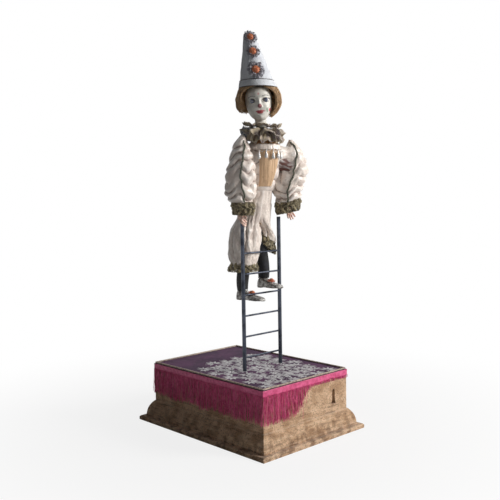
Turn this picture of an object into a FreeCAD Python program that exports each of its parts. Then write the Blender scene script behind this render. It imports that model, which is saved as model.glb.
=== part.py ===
import FreeCAD, Part
import math
import os
from FreeCAD import Placement, Rotation, Vector

# Driving dimensions, in millimetres and degrees. The origin is the middle of the
# base's underside, +Z is up and -Y is the front, where the keyhole is.

# Base cabinet
BASE_HEIGHT = 100.0
BOX_X = 193.0
BOX_Y = 272.0
PLINTH_OVERHANG = 21.0
WALL = 8.0
DECK_THICKNESS = 8.0
COVER_THICKNESS = 6.0
COVER_RECESS = 2.0
PLINTH_TOE_HEIGHT = 7.0
MOULDING_STEP_HEIGHT = 10.0
MOULDING_STEP_OUT = 12.0
MOULDING_HEIGHT = 34.0
CLOTH = 0.6
BRAID_RADIUS = 1.5
FRINGE_THICKNESS = 2.4
FRINGE_HEADER = 10.0
FRINGE_LENGTH = 52.0
SCREW_SHANK = 1.5
SCREW_HEAD = 3.2
SCREW_LENGTH = 18.0
KEYHOLE_WIDTH = 6.4
KEYHOLE_FOOT = 12.0
KEYHOLE_HEIGHT = 25.0

# Ladder
LADDER_Y = -25.7
LEFT_RAIL_X = -31.2
RIGHT_RAIL_X = 53.1
RAIL_TOP = 352.0
RAIL_RADIUS = 3.25
RAIL_BORE = 2.2
RUNG_RADIUS = 1.5
RUNG_FIRST = 123.0
RUNG_PITCH = 34.6
RUNG_COUNT = 6
NUT_RADIUS = 7.0
NUT_HEIGHT = 5.0
RAIL_TAIL = 3.0
CAP_PLUG = 6.0
CAP_HEIGHT = 1.5

# Clockwork
RUNNING = 0.05
TOOTH_MODULE = 1.0
WHEEL_TEETH = 44
PINION_TEETH = 12
PRESSURE_ANGLE = 25.0
BACKLASH = 0.25
BARREL_X = 64.0
BARREL_RADIUS = 20.0
BARREL_WALL = 1.4
BARREL_LENGTH = 26.0
SPRING_TURNS = 6
SPRING_STRIP = 0.6
ARBOR_RADIUS = 3.0
SLIM_ARBOR_RADIUS = 1.5
SQUARE_SIDE = 3.4
PLATE = 2.5
FRONT_PLATE_Y = -112.0
PLATE_GAP = 49.5
DECK_CLEARANCE = 8.4
PILLAR_RADIUS = 3.0
WHEEL_THICKNESS = 3.0
RATCHET_RADIUS = 9.0
RATCHET_TEETH = 12
RATCHET_OUT = 4.5
RATCHET_THICKNESS = 2.5
FLY_FLOOR_GAP = 8.0
FLY_BLADE = 18.0
HUB_RADIUS = 6.0
CLICK_PIN = 1.5
CLICK_SIDE = 14.0
CLICK_RISE = 12.0
STOP_X = 80.0
STOP_Y = 0.0
STOP_PIN = 2.0
STOP_KNOB = 3.2
BRAKE_GAP = 0.4
BRAKE_ARM = 3.0

# Lifting linkage
LIFT_ANGLE = 120.0
GEAR_ROD_TEETH = 20
GEAR_ROD_MODULE = 0.8
ROD_RADIUS = 1.7
RACK_TAIL = 6.0
LEVER_PIVOT_X = 44.0
CAM_LOW = 12.0
CAM_THICKNESS = 5.0
CAM_CLEARANCE = 0.15
ROLLER_RADIUS = 3.5
LEVER_BAR = 3.5
LEVER_HEIGHT = 7.0
STUD_RADIUS = 2.5
ROD_PIN = 1.4
SHOULDER_Z = 463.0
AXLE_END = 6.0

# Figure
TORSO_TURN = 23.0
HEAD_TURN = 43.0
HEAD_LEAN = 9.5
CHEST = Vector(12.5, -34.0, 0)
NECK_Z = 503.0
SHOULDER_REACH = 47.0
HAT_RADIUS = 30.0
HAT_TOP_RADIUS = 8.0
HAT_BASE = 64.0
HAT_TOP = 150.0
HAT_BAND = 9.0
RUFF_RADIUS = 31.5
RIGHT_SOLE = 215.0
LEFT_SOLE = 232.0
SHOE_LENGTH = 60.0
SHOE_WIDTH = 21.0
HIP_Z = 338.0
HIP_Y = -3.0
HIP_MIDDLE = 17.0
HIP_SPREAD = 12.5
HIP_PIN = 2.0
HIP_BOSS = 9.0
HIP_ROOM = 13.0
ARM_PIN = 2.0
ARM_HUB = 6.0
ARM_HUB_HALF = 5.0
ARM_CORE = 4.0
ARM_ROOM = 12.5
ARM_X = -42.0
ARM_SLOT_TOP = 27.0
JACKET_SIDE = -14.5
NECK_RADIUS = 9.0
BEAD_COUNT = 7
BEAD_SPREAD = 14.0
BEAD_DROP = 5.0
BEAD_RADIUS = 2.0
BEAD_HEIGHT = 5.2
BEAD_GAP = 0.08

# Places worked out from the driving dimensions
HALF_X = BOX_X / 2
HALF_Y = BOX_Y / 2
WALL_TOP = BASE_HEIGHT - CLOTH - DECK_THICKNESS
COVER_TOP = COVER_RECESS + COVER_THICKNESS
DECK_TOP = BASE_HEIGHT - CLOTH
WHEEL_RADIUS = TOOTH_MODULE * WHEEL_TEETH / 2
PLATE_TOP = WALL_TOP - DECK_CLEARANCE
TRAIN_Z = PLATE_TOP - WHEEL_RADIUS - TOOTH_MODULE
PINION_RADIUS = TOOTH_MODULE * PINION_TEETH / 2
CENTRES = WHEEL_RADIUS + PINION_RADIUS
SECOND_X = BARREL_X - CENTRES
CAM_X = SECOND_X - CENTRES
FLY_Z = TRAIN_Z - CENTRES
FLY_SPAN = FLY_Z - COVER_TOP - FLY_FLOOR_GAP
CLICK_X = BARREL_X - CLICK_SIDE
CLICK_Z = TRAIN_Z + CLICK_RISE
REAR_PLATE_Y = FRONT_PLATE_Y + PLATE + PLATE_GAP
BARREL_Y = FRONT_PLATE_Y + PLATE + 5.5
GREAT_WHEEL_Y = BARREL_Y + BARREL_LENGTH
SECOND_WHEEL_Y = GREAT_WHEEL_Y + WHEEL_THICKNESS + 4.0
GEAR_ROD_RADIUS = GEAR_ROD_MODULE * GEAR_ROD_TEETH / 2
ROD_TRAVEL = GEAR_ROD_RADIUS * math.radians(LIFT_ANGLE)
RACK_PITCH_Y = LADDER_Y + 0.5
SHOULDER_Y = RACK_PITCH_Y + GEAR_ROD_RADIUS
LEVER_REACH = LEVER_PIVOT_X - LEFT_RAIL_X
LEVER_SWING = math.degrees(math.atan(ROD_TRAVEL / 2 / LEVER_REACH))
ROLLER_ARM = (LEVER_PIVOT_X - CAM_X) / math.cos(math.radians(LEVER_SWING))
ROLLER_TRAVEL = 2 * ROLLER_ARM * math.sin(math.radians(LEVER_SWING))
LEVER_Z = TRAIN_Z - CAM_LOW - ROLLER_RADIUS - ROLLER_TRAVEL / 2
CAM_Y = LADDER_Y - CAM_THICKNESS / 2
LEVER_Y = CAM_Y - 1.2 - LEVER_BAR
BRACKET_Y = CAM_Y + CAM_THICKNESS + 7.0
PIN_Z = LEVER_Z + ROD_TRAVEL / 2
TURN = math.radians(TORSO_TURN)
LEFTWARD = Vector(math.cos(TURN), -math.sin(TURN), 0)
FORWARD = Vector(-math.sin(TURN), -math.cos(TURN), 0)
UP = Vector(0, 0, 1)
ALONG_X = Vector(1, 0, 0)
ALONG_Y = Vector(0, 1, 0)
LEFT_SHOULDER = CHEST + LEFTWARD * SHOULDER_REACH + UP * SHOULDER_Z


def export(name, *solids):
    """Write the solids of one node to its file."""
    shape = solids[0] if len(solids) == 1 else Part.makeCompound(list(solids))
    shape.exportStep("parts/" + name + ".step")


def block(low, high):
    """Box between two corners."""
    size = [h - l for l, h in zip(low, high)]
    return Part.makeBox(size[0], size[1], size[2], Vector(*low))


def rod(start, end, radius):
    """Round bar between two points."""
    axis = end - start
    return Part.makeCylinder(radius, axis.Length, start, axis)


def tube(start, end, outer, inner):
    """Round tube between two points."""
    return rod(start, end, outer).cut(rod(start, end, inner))


def bar_y(x, z, y_start, y_end, radius):
    """Round bar along Y."""
    return rod(Vector(x, y_start, z), Vector(x, y_end, z), radius)


def polygon_face(points):
    """Flat face with straight sides."""
    return Part.Face(Part.makePolygon(points + [points[0]]))


def ring(centre, across, along, half_across, half_along):
    """Closed smooth oval in the plane of two directions."""
    points = []
    for step in range(12):
        angle = math.radians(30 * step)
        side, front = half_across * math.cos(angle), half_along * math.sin(angle)
        points.append(centre + across * side + along * front)
    curve = Part.BSplineCurve()
    curve.interpolate(points, PeriodicFlag=True)
    return Part.Wire(curve.toShape())


def level_loft(sections, turn=0.0):
    """Smooth body through level ovals: each (x, y, z, half width, half depth)."""
    across = Vector(math.cos(math.radians(turn)), -math.sin(math.radians(turn)), 0)
    along = UP.cross(across)
    wires = [ring(Vector(x, y, z), across, along, w, d) for x, y, z, w, d in sections]
    return Part.makeLoft(wires, True, False)


def upright_loft(sections):
    """Smooth body through upright ovals along Y: each (x, y, z, half width, half height)."""
    wires = [ring(Vector(x, y, z), ALONG_X, UP, w, h) for x, y, z, w, h in sections]
    return Part.makeLoft(wires, True, False)


def involute(angle):
    """Involute function of a pressure angle."""
    return math.tan(angle) - angle


def gear_solid(teeth, module, centre, axis, across, thickness, phase):
    """Toothed wheel: its axis, the direction of its first tooth and that tooth's angle."""
    pressure = math.radians(PRESSURE_ANGLE)
    pitch = module * teeth / 2
    base = pitch * math.cos(pressure)
    root = pitch - 1.25 * module
    outer = pitch + module
    half = (math.pi * module / 2 - BACKLASH * module) / (2 * pitch) + involute(pressure)
    start = max(base, root + 0.01)
    radii = [start + (outer - start) * step / 3 for step in range(4)]
    flank = [(root, half)] + [(r, half - involute(math.acos(base / r))) for r in radii]
    side = axis.cross(across)
    points = []
    for tooth in range(teeth):
        middle = math.radians(phase) + 2 * math.pi * tooth / teeth
        for radius, spread in flank:
            points.append((radius, middle - spread))
        for radius, spread in reversed(flank):
            points.append((radius, middle + spread))
    corners = [centre + across * (r * math.cos(a)) + side * (r * math.sin(a)) for r, a in points]
    return polygon_face(corners).extrude(axis * thickness)


def train_wheel(teeth, x, z, y, thickness, phase, bore):
    """Clock wheel or pinion whose axis runs along Y."""
    wheel = gear_solid(teeth, TOOTH_MODULE, Vector(x, y, z), ALONG_Y, ALONG_X, thickness, phase)
    return wheel.cut(bar_y(x, z, y - 1, y + thickness + 1, bore)) if bore else wheel


def base_screws():
    """Countersunk screws that hold the bottom cover to the walls."""
    screws = []
    for x in (-HALF_X + WALL / 2, HALF_X - WALL / 2):
        for y in (-BOX_Y / 3, 0.0, BOX_Y / 3):
            foot = Vector(x, y, COVER_RECESS)
            head = Part.makeCone(SCREW_HEAD, SCREW_SHANK, SCREW_HEAD - SCREW_SHANK, foot, UP)
            shank = rod(foot + UP * (SCREW_HEAD - SCREW_SHANK), foot + UP * SCREW_LENGTH, SCREW_SHANK)
            screws.append(head.fuse(shank).removeSplitter())
    return screws


def keyhole():
    """Keyhole with a round head and a flared foot, cut through the front wall."""
    low = TRAIN_Z - KEYHOLE_HEIGHT / 2
    high = TRAIN_Z + KEYHOLE_HEIGHT / 2 - KEYHOLE_WIDTH / 2
    y = -HALF_Y - 1
    half = KEYHOLE_WIDTH / 2
    slot = block((BARREL_X - half, y, low), (BARREL_X + half, y + WALL + 2, high))
    head = bar_y(BARREL_X, high, y, y + WALL + 2, half)
    foot = polygon_face([
        Vector(BARREL_X - KEYHOLE_FOOT / 2, y, low),
        Vector(BARREL_X + KEYHOLE_FOOT / 2, y, low),
        Vector(BARREL_X + half, y, low + 7),
        Vector(BARREL_X - half, y, low + 7),
    ]).extrude(ALONG_Y * (WALL + 2))
    return slot.fuse([head, foot])


def moulding_length(half_long, half_short, along_x):
    """One mitred length of the plinth moulding, outside a wall."""
    rise = (MOULDING_HEIGHT - MOULDING_STEP_HEIGHT)
    bulge_out = MOULDING_STEP_OUT - 2.5
    bulge_up = MOULDING_STEP_HEIGHT + 0.25 * rise
    middle = Vector(0.62 * MOULDING_STEP_OUT, 0, MOULDING_STEP_HEIGHT + 0.66 * rise)
    corner = Vector(bulge_out + 1.5, 0, bulge_up)
    top = Vector(1.0, 0, MOULDING_HEIGHT)
    outline = [
        Part.LineSegment(Vector(0, 0, 0), Vector(PLINTH_OVERHANG, 0, 0)),
        Part.LineSegment(Vector(PLINTH_OVERHANG, 0, 0), Vector(PLINTH_OVERHANG, 0, PLINTH_TOE_HEIGHT - 2)),
        Part.LineSegment(
            Vector(PLINTH_OVERHANG, 0, PLINTH_TOE_HEIGHT - 2), Vector(PLINTH_OVERHANG - 2, 0, PLINTH_TOE_HEIGHT)),
        Part.LineSegment(
            Vector(PLINTH_OVERHANG - 2, 0, PLINTH_TOE_HEIGHT), Vector(MOULDING_STEP_OUT, 0, PLINTH_TOE_HEIGHT)),
        Part.LineSegment(
            Vector(MOULDING_STEP_OUT, 0, PLINTH_TOE_HEIGHT), Vector(MOULDING_STEP_OUT, 0, MOULDING_STEP_HEIGHT)),
        Part.LineSegment(Vector(MOULDING_STEP_OUT, 0, MOULDING_STEP_HEIGHT), corner),
        Part.Arc(corner, middle, top),
        Part.LineSegment(top, Vector(0, 0, MOULDING_HEIGHT)),
        Part.LineSegment(Vector(0, 0, MOULDING_HEIGHT), Vector(0, 0, 0)),
    ]
    face = Part.Face(Part.Wire([edge.toShape() for edge in outline]))
    reach = half_long + PLINTH_OVERHANG
    solid = face.extrude(ALONG_Y * (2 * reach))
    solid.translate(Vector(half_short, -reach, 0))
    for end in (-1, 1):
        far = 4 * PLINTH_OVERHANG
        wedge = polygon_face([
            Vector(half_short, end * half_long, -1),
            Vector(half_short + far, end * (half_long + far), -1),
            Vector(half_short, end * (half_long + far), -1),
        ]).extrude(UP * (MOULDING_HEIGHT + 2))
        solid = solid.cut(wedge)
    if along_x:
        solid.rotate(Vector(0, 0, 0), UP, 90)
    return solid


def build_base():
    """Walls, deck, bottom cover, moulding and their trimmings."""
    inner_x = HALF_X - WALL
    screws = base_screws()
    front = block((-HALF_X, -HALF_Y, COVER_TOP), (HALF_X, -HALF_Y + WALL, WALL_TOP)).cut(keyhole())
    rear = block((-HALF_X, HALF_Y - WALL, COVER_TOP), (HALF_X, HALF_Y, WALL_TOP))
    left = block((-HALF_X, -HALF_Y + WALL, COVER_TOP), (-inner_x, HALF_Y - WALL, WALL_TOP)).cut(screws)
    right = block((inner_x, -HALF_Y + WALL, COVER_TOP), (HALF_X, HALF_Y - WALL, WALL_TOP)).cut(screws)
    export("front_wall", front)
    export("rear_wall", rear)
    export("side_walls", left, right)
    cover = block((-HALF_X, -HALF_Y, COVER_RECESS), (HALF_X, HALF_Y, COVER_TOP)).cut(screws)
    export("bottom_cover", cover)
    export("cover_screws", *screws)
    lengths = []
    for along_x in (False, True):
        half_long, half_short = (HALF_X, HALF_Y) if along_x else (HALF_Y, HALF_X)
        side = moulding_length(half_long, half_short, along_x)
        other = side.copy()
        other.rotate(Vector(0, 0, 0), UP, 180)
        lengths += [side, other]
    export("base_moulding", *lengths)

    holes = [
        rod(Vector(x, LADDER_Y, WALL_TOP - 1), Vector(x, LADDER_Y, BASE_HEIGHT + 1), RAIL_RADIUS)
        for x in (LEFT_RAIL_X, RIGHT_RAIL_X)
    ]
    stop_foot = Vector(STOP_X, STOP_Y, WALL_TOP - 1)
    holes.append(rod(stop_foot, Vector(STOP_X, STOP_Y, BASE_HEIGHT + 1), STOP_PIN + RUNNING))
    export("deck_board", block((-HALF_X, -HALF_Y, WALL_TOP), (HALF_X, HALF_Y, DECK_TOP)).cut(holes))
    export("deck_cloth", block((-HALF_X, -HALF_Y, DECK_TOP), (HALF_X, HALF_Y, BASE_HEIGHT)).cut(holes))

    braid_z = BASE_HEIGHT + BRAID_RADIUS
    edge_x = HALF_X - BRAID_RADIUS
    edge_y = HALF_Y - BRAID_RADIUS
    braids = []
    for side in (-1, 1):
        end_x = edge_x - BRAID_RADIUS
        near, far = Vector(side * edge_x, -HALF_Y, braid_z), Vector(side * edge_x, HALF_Y, braid_z)
        braids.append(rod(near, far, BRAID_RADIUS))
        left, right = Vector(-end_x, side * edge_y, braid_z), Vector(end_x, side * edge_y, braid_z)
        braids.append(rod(left, right, BRAID_RADIUS))
    export("edge_braid", *braids)


def build_fringes():
    """Hanging fringe on each side, worn short on the right half of the front."""
    top = BASE_HEIGHT - 0.5
    header = top - FRINGE_HEADER
    bottom = top - FRINGE_LENGTH
    y = -HALF_Y - FRINGE_THICKNESS
    out_x = HALF_X + FRINGE_THICKNESS
    front = polygon_face([
        Vector(-out_x, y, top),
        Vector(-out_x, y, bottom),
        Vector(-0.25 * BOX_X, y, bottom - 4),
        Vector(-0.12 * BOX_X, y, bottom + 6),
        Vector(-0.04 * BOX_X, y, header - 12),
        Vector(0.08 * BOX_X, y, header),
        Vector(out_x, y, header),
        Vector(out_x, y, top),
    ]).extrude(ALONG_Y * FRINGE_THICKNESS)
    export("fringe_front", front)
    export("fringe_left", block((-out_x, -HALF_Y, bottom), (-HALF_X, HALF_Y, top)))
    right = block((HALF_X, -HALF_Y, bottom), (out_x, HALF_Y, top))
    rear = block((-out_x, HALF_Y, bottom), (out_x, HALF_Y + FRINGE_THICKNESS, top))
    export("fringe_back", right, rear)


def build_ladder():
    """Two tube rails, six rungs, and a nut under the deck on each rail."""
    foot = WALL_TOP - NUT_HEIGHT - RAIL_TAIL
    rails = {}
    for name, x in (("left_rail", LEFT_RAIL_X), ("right_rail", RIGHT_RAIL_X)):
        low, high = Vector(x, LADDER_Y, foot), Vector(x, LADDER_Y, RAIL_TOP)
        rails[name] = rod(low, high, RAIL_RADIUS)
        export(name, tube(low, high, RAIL_RADIUS, RAIL_BORE))
    rungs = []
    for index in range(RUNG_COUNT):
        z = RUNG_FIRST + RUNG_PITCH * index
        bar = rod(Vector(LEFT_RAIL_X, LADDER_Y, z), Vector(RIGHT_RAIL_X, LADDER_Y, z), RUNG_RADIUS)
        rungs.append(bar.cut([rails["left_rail"], rails["right_rail"]]))
    export("rungs", *rungs)
    nuts = []
    for x in (LEFT_RAIL_X, RIGHT_RAIL_X):
        corners = [
            Vector(x + NUT_RADIUS * math.cos(math.radians(60 * k)),
                   LADDER_Y + NUT_RADIUS * math.sin(math.radians(60 * k)), WALL_TOP - NUT_HEIGHT)
            for k in range(6)
        ]
        nut = polygon_face(corners).extrude(UP * NUT_HEIGHT)
        nuts.append(nut.cut(rod(Vector(x, LADDER_Y, 0), Vector(x, LADDER_Y, BASE_HEIGHT), RAIL_RADIUS)))
    cap_foot = Vector(RIGHT_RAIL_X, LADDER_Y, RAIL_TOP)
    plug = rod(cap_foot - UP * CAP_PLUG, cap_foot, RAIL_BORE)
    cap = plug.fuse(rod(cap_foot, cap_foot + UP * CAP_HEIGHT, RAIL_RADIUS)).removeSplitter()
    export("rail_fittings", cap, *nuts)


def build_frame():
    """Plates, pillars, nuts, the rear bracket and the lever's stud."""
    bores = [
        (BARREL_X, TRAIN_Z, ARBOR_RADIUS + RUNNING),
        (SECOND_X, TRAIN_Z, SLIM_ARBOR_RADIUS + RUNNING),
        (SECOND_X, FLY_Z, SLIM_ARBOR_RADIUS + RUNNING),
        (CAM_X, TRAIN_Z, ARBOR_RADIUS + RUNNING),
    ]
    left_x = CAM_X - WHEEL_RADIUS - 5
    right_x = BARREL_X + BARREL_RADIUS + 2
    posts = [(left_x + 5, COVER_TOP + 8), (left_x + 5, PLATE_TOP - 6), (right_x - 5, COVER_TOP + 8)]
    tail = SLIM_ARBOR_RADIUS
    pillars = []
    nuts = []
    for x, z in posts:
        body = bar_y(x, z, FRONT_PLATE_Y + PLATE, REAR_PLATE_Y, PILLAR_RADIUS)
        ends = bar_y(x, z, FRONT_PLATE_Y - 3, REAR_PLATE_Y + PLATE + 3, tail)
        pillars.append(body.fuse(ends).removeSplitter())
        for y in (FRONT_PLATE_Y - 3, REAR_PLATE_Y + PLATE):
            nuts.append(bar_y(x, z, y, y + 3, PILLAR_RADIUS).cut(ends))
    stud = bar_y(LEVER_PIVOT_X, LEVER_Z, REAR_PLATE_Y, BRACKET_Y + PLATE, STUD_RADIUS)
    for name, y in (("front_plate", FRONT_PLATE_Y), ("rear_plate", REAR_PLATE_Y)):
        plate = block((left_x, y, COVER_TOP), (right_x, y + PLATE, PLATE_TOP))
        cuts = [bar_y(x, z, y - 1, y + PLATE + 1, r) for x, z, r in bores]
        cuts += [bar_y(x, z, y - 1, y + PLATE + 1, tail) for x, z in posts]
        plate = plate.cut(cuts + [stud])
        if name == "front_plate":
            plate = plate.fuse(click_pin()).removeSplitter()
        export(name, plate)
    export("plate_pillars", *pillars, *nuts)
    low_x, high_x = CAM_X - 10, LEVER_PIVOT_X + 10
    bracket = block((low_x, BRACKET_Y, COVER_TOP), (high_x, BRACKET_Y + PLATE, TRAIN_Z + 12))
    foot = block((low_x, BRACKET_Y + PLATE, COVER_TOP), (high_x, BRACKET_Y + 14, COVER_TOP + PLATE))
    bearing = bar_y(CAM_X, TRAIN_Z, BRACKET_Y - 1, BRACKET_Y + PLATE + 1, ARBOR_RADIUS + RUNNING)
    export("cam_bracket", bracket.cut(bearing).fuse([foot, stud]).removeSplitter())


def spiral(inner, outer, turns, centre_x, centre_z, y):
    """Points of a flat spiral about an axis along Y."""
    points = []
    count = 12 * turns
    for step in range(count + 1):
        angle = 2 * math.pi * step / 12
        radius = inner + (outer - inner) * step / count
        points.append(Vector(centre_x + radius * math.cos(angle), y, centre_z + radius * math.sin(angle)))
    return points


def build_barrel():
    """Going barrel with its toothed rim, cap, mainspring and winding arbor."""
    y0, y1 = BARREL_Y, GREAT_WHEEL_Y
    drum = bar_y(BARREL_X, TRAIN_Z, y0, y1, BARREL_RADIUS)
    hollow = bar_y(BARREL_X, TRAIN_Z, y0 - 1, y1 - 1.5, BARREL_RADIUS - BARREL_WALL)
    bore = bar_y(BARREL_X, TRAIN_Z, y0 - 1, y1 + 10, ARBOR_RADIUS + RUNNING)
    wheel = train_wheel(WHEEL_TEETH, BARREL_X, TRAIN_Z, y1, WHEEL_THICKNESS, 0.0, 0)
    export("barrel_drum", drum.cut(hollow).fuse(wheel).cut(bore).removeSplitter())
    cap = bar_y(BARREL_X, TRAIN_Z, y0 - 1.5, y0, BARREL_RADIUS)
    export("barrel_cap", cap.cut(bar_y(BARREL_X, TRAIN_Z, y0 - 3, y0 + 1, ARBOR_RADIUS + RUNNING)))
    low, high = y0 + 2, y1 - 3.5
    inner = spiral(HUB_RADIUS + 0.6, BARREL_RADIUS - BARREL_WALL - SPRING_STRIP - 0.1,
                   SPRING_TURNS, BARREL_X, TRAIN_Z, low)
    outer = spiral(HUB_RADIUS + 0.6 + SPRING_STRIP, BARREL_RADIUS - BARREL_WALL - 0.1,
                   SPRING_TURNS, BARREL_X, TRAIN_Z, low)
    edges = []
    for points in (inner, outer):
        curve = Part.BSplineCurve()
        curve.interpolate(points)
        edges.append(curve.toShape())
    edges.append(Part.makeLine(inner[0], outer[0]))
    edges.append(Part.makeLine(inner[-1], outer[-1]))
    face = Part.Face(Part.Wire(Part.__sortEdges__(edges)))
    export("mainspring", face.extrude(ALONG_Y * (high - low)))

    arbor = bar_y(BARREL_X, TRAIN_Z, FRONT_PLATE_Y - 6.5, REAR_PLATE_Y + PLATE + 2, ARBOR_RADIUS)
    hub = bar_y(BARREL_X, TRAIN_Z, low, high, HUB_RADIUS)
    half = SQUARE_SIDE / 2
    front_end = -HALF_Y + WALL + 2
    square = block((BARREL_X - half, front_end, TRAIN_Z - half),
                   (BARREL_X + half, FRONT_PLATE_Y - 6.5, TRAIN_Z + half))
    winding = arbor.fuse([hub, square]).removeSplitter()

    ratchet_y = FRONT_PLATE_Y - RATCHET_OUT
    points = []
    for tooth in range(RATCHET_TEETH):
        lead = math.radians(360 / RATCHET_TEETH * tooth)
        trail = lead + math.radians(360 / RATCHET_TEETH * 0.92)
        for radius, angle in ((RATCHET_RADIUS, lead), (RATCHET_RADIUS - 2.4, trail)):
            x, z = BARREL_X + radius * math.cos(angle), TRAIN_Z + radius * math.sin(angle)
            points.append(Vector(x, ratchet_y, z))
    ratchet = polygon_face(points).extrude(ALONG_Y * RATCHET_THICKNESS)
    export("winding_arbor", winding, ratchet.cut(arbor))
    build_click(ratchet_y)


def click_pin():
    """Headed pin on the front plate that the click turns on."""
    y = FRONT_PLATE_Y - RATCHET_OUT
    pin = bar_y(CLICK_X, CLICK_Z, y - 1.5, FRONT_PLATE_Y + PLATE, CLICK_PIN)
    return pin.fuse(bar_y(CLICK_X, CLICK_Z, y - 1.5, y - 0.1, CLICK_PIN + 1))


def build_click(ratchet_y):
    """Click that holds the ratchet."""
    touch = math.radians(143.0)
    tip_radius = RATCHET_RADIUS - 0.7
    tip_x, tip_z = BARREL_X + tip_radius * math.cos(touch), TRAIN_Z + tip_radius * math.sin(touch)
    tip = Vector(tip_x, ratchet_y, tip_z)
    pivot = Vector(CLICK_X, ratchet_y, CLICK_Z)
    reach = tip - pivot
    side = Vector(-reach.z, 0, reach.x).normalize()
    tip = pivot + reach * 0.93
    blade = polygon_face([pivot + side * 2.4, tip + side * 0.8, tip - side * 0.8, pivot - side * 2.4])
    boss = bar_y(CLICK_X, CLICK_Z, ratchet_y, ratchet_y + RATCHET_THICKNESS, CLICK_PIN + 1.7)
    click = blade.extrude(ALONG_Y * RATCHET_THICKNESS).fuse(boss).removeSplitter()
    bore = bar_y(CLICK_X, CLICK_Z, ratchet_y - 1, FRONT_PLATE_Y, CLICK_PIN + RUNNING)
    export("click", click.cut(bore))


def build_train():
    """Second arbor, governor arbor with its air vanes, and the camshaft."""
    front = FRONT_PLATE_Y - 2
    rear = REAR_PLATE_Y + PLATE + 2
    half_pitch = 180.0 / PINION_TEETH
    pinion_y = GREAT_WHEEL_Y - 1.5
    pinion = train_wheel(PINION_TEETH, SECOND_X, TRAIN_Z, pinion_y, WHEEL_THICKNESS + 3, half_pitch, 0)
    arbor = bar_y(SECOND_X, TRAIN_Z, front, rear, SLIM_ARBOR_RADIUS)
    seat = SLIM_ARBOR_RADIUS
    wheel = train_wheel(WHEEL_TEETH, SECOND_X, TRAIN_Z, SECOND_WHEEL_Y, WHEEL_THICKNESS, -90.0, seat)
    export("second_wheel", wheel, pinion.fuse(arbor).removeSplitter())
    fly_pinion = train_wheel(
        PINION_TEETH, SECOND_X, FLY_Z, SECOND_WHEEL_Y - 1, WHEEL_THICKNESS + 2, 90.0 + half_pitch, 0)
    fly_arbor = bar_y(SECOND_X, FLY_Z, front, rear, SLIM_ARBOR_RADIUS)
    blade_y = BARREL_Y
    blades = block((SECOND_X - 0.4, blade_y, FLY_Z - FLY_SPAN),
                   (SECOND_X + 0.4, blade_y + FLY_BLADE, FLY_Z + FLY_SPAN))
    collar = bar_y(SECOND_X, FLY_Z, blade_y - 1, blade_y + FLY_BLADE + 1, 3.0)
    vanes = blades.fuse(collar).cut(fly_arbor).removeSplitter()
    export("fly_governor", vanes, fly_pinion.fuse(fly_arbor).removeSplitter())
    shaft = bar_y(CAM_X, TRAIN_Z, front, BRACKET_Y + PLATE + 2, ARBOR_RADIUS)
    cam_wheel = train_wheel(WHEEL_TEETH, CAM_X, TRAIN_Z, GREAT_WHEEL_Y, WHEEL_THICKNESS, 0.0, ARBOR_RADIUS)
    export("camshaft", shaft, cam_wheel)
    export("lift_cam", lift_cam().cut(shaft))


def lift_cam():
    """Heart cam: its edge is the roller's path seen from the turning cam, one roller radius in."""
    path = []
    steps = 20
    for step in range(steps + 1):
        share = step / steps
        lever = math.radians(LEVER_SWING * (1 - 2 * share))
        x = LEVER_PIVOT_X - ROLLER_ARM * math.cos(lever) - CAM_X
        z = LEVER_Z + ROLLER_ARM * math.sin(lever) - TRAIN_Z
        turn = math.pi * share
        path.append((x * math.cos(turn) - z * math.sin(turn), x * math.sin(turn) + z * math.cos(turn)))
    edge = []
    offset = ROLLER_RADIUS + CAM_CLEARANCE
    for index in range(steps + 1):
        before = path[max(index - 1, 0)]
        after = path[min(index + 1, steps)]
        dx, dz = after[0] - before[0], after[1] - before[1]
        length = math.hypot(dx, dz)
        inward = (-dz / length, dx / length)
        edge.append((path[index][0] + inward[0] * offset, path[index][1] + inward[1] * offset))
    side = [p for p in edge if p[0] > 0.2]
    tip_z = side[-1][1] + 0.05
    bottom = (0.0, path[0][1] + offset)

    def place(p, mirror=1):
        return Vector(CAM_X + mirror * p[0], CAM_Y, TRAIN_Z + p[1])

    right = Part.BSplineCurve()
    right.interpolate([place(p) for p in side])
    left = Part.BSplineCurve()
    left.interpolate([place(p, -1) for p in side])
    edges = [
        Part.Arc(place(side[0], -1), place(bottom), place(side[0])).toShape(),
        right.toShape(),
        left.toShape(),
        Part.Arc(place(side[-1]), place((0.0, tip_z)), place(side[-1], -1)).toShape(),
    ]
    face = Part.Face(Part.Wire(Part.__sortEdges__(edges)))
    return face.extrude(ALONG_Y * CAM_THICKNESS)


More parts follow.
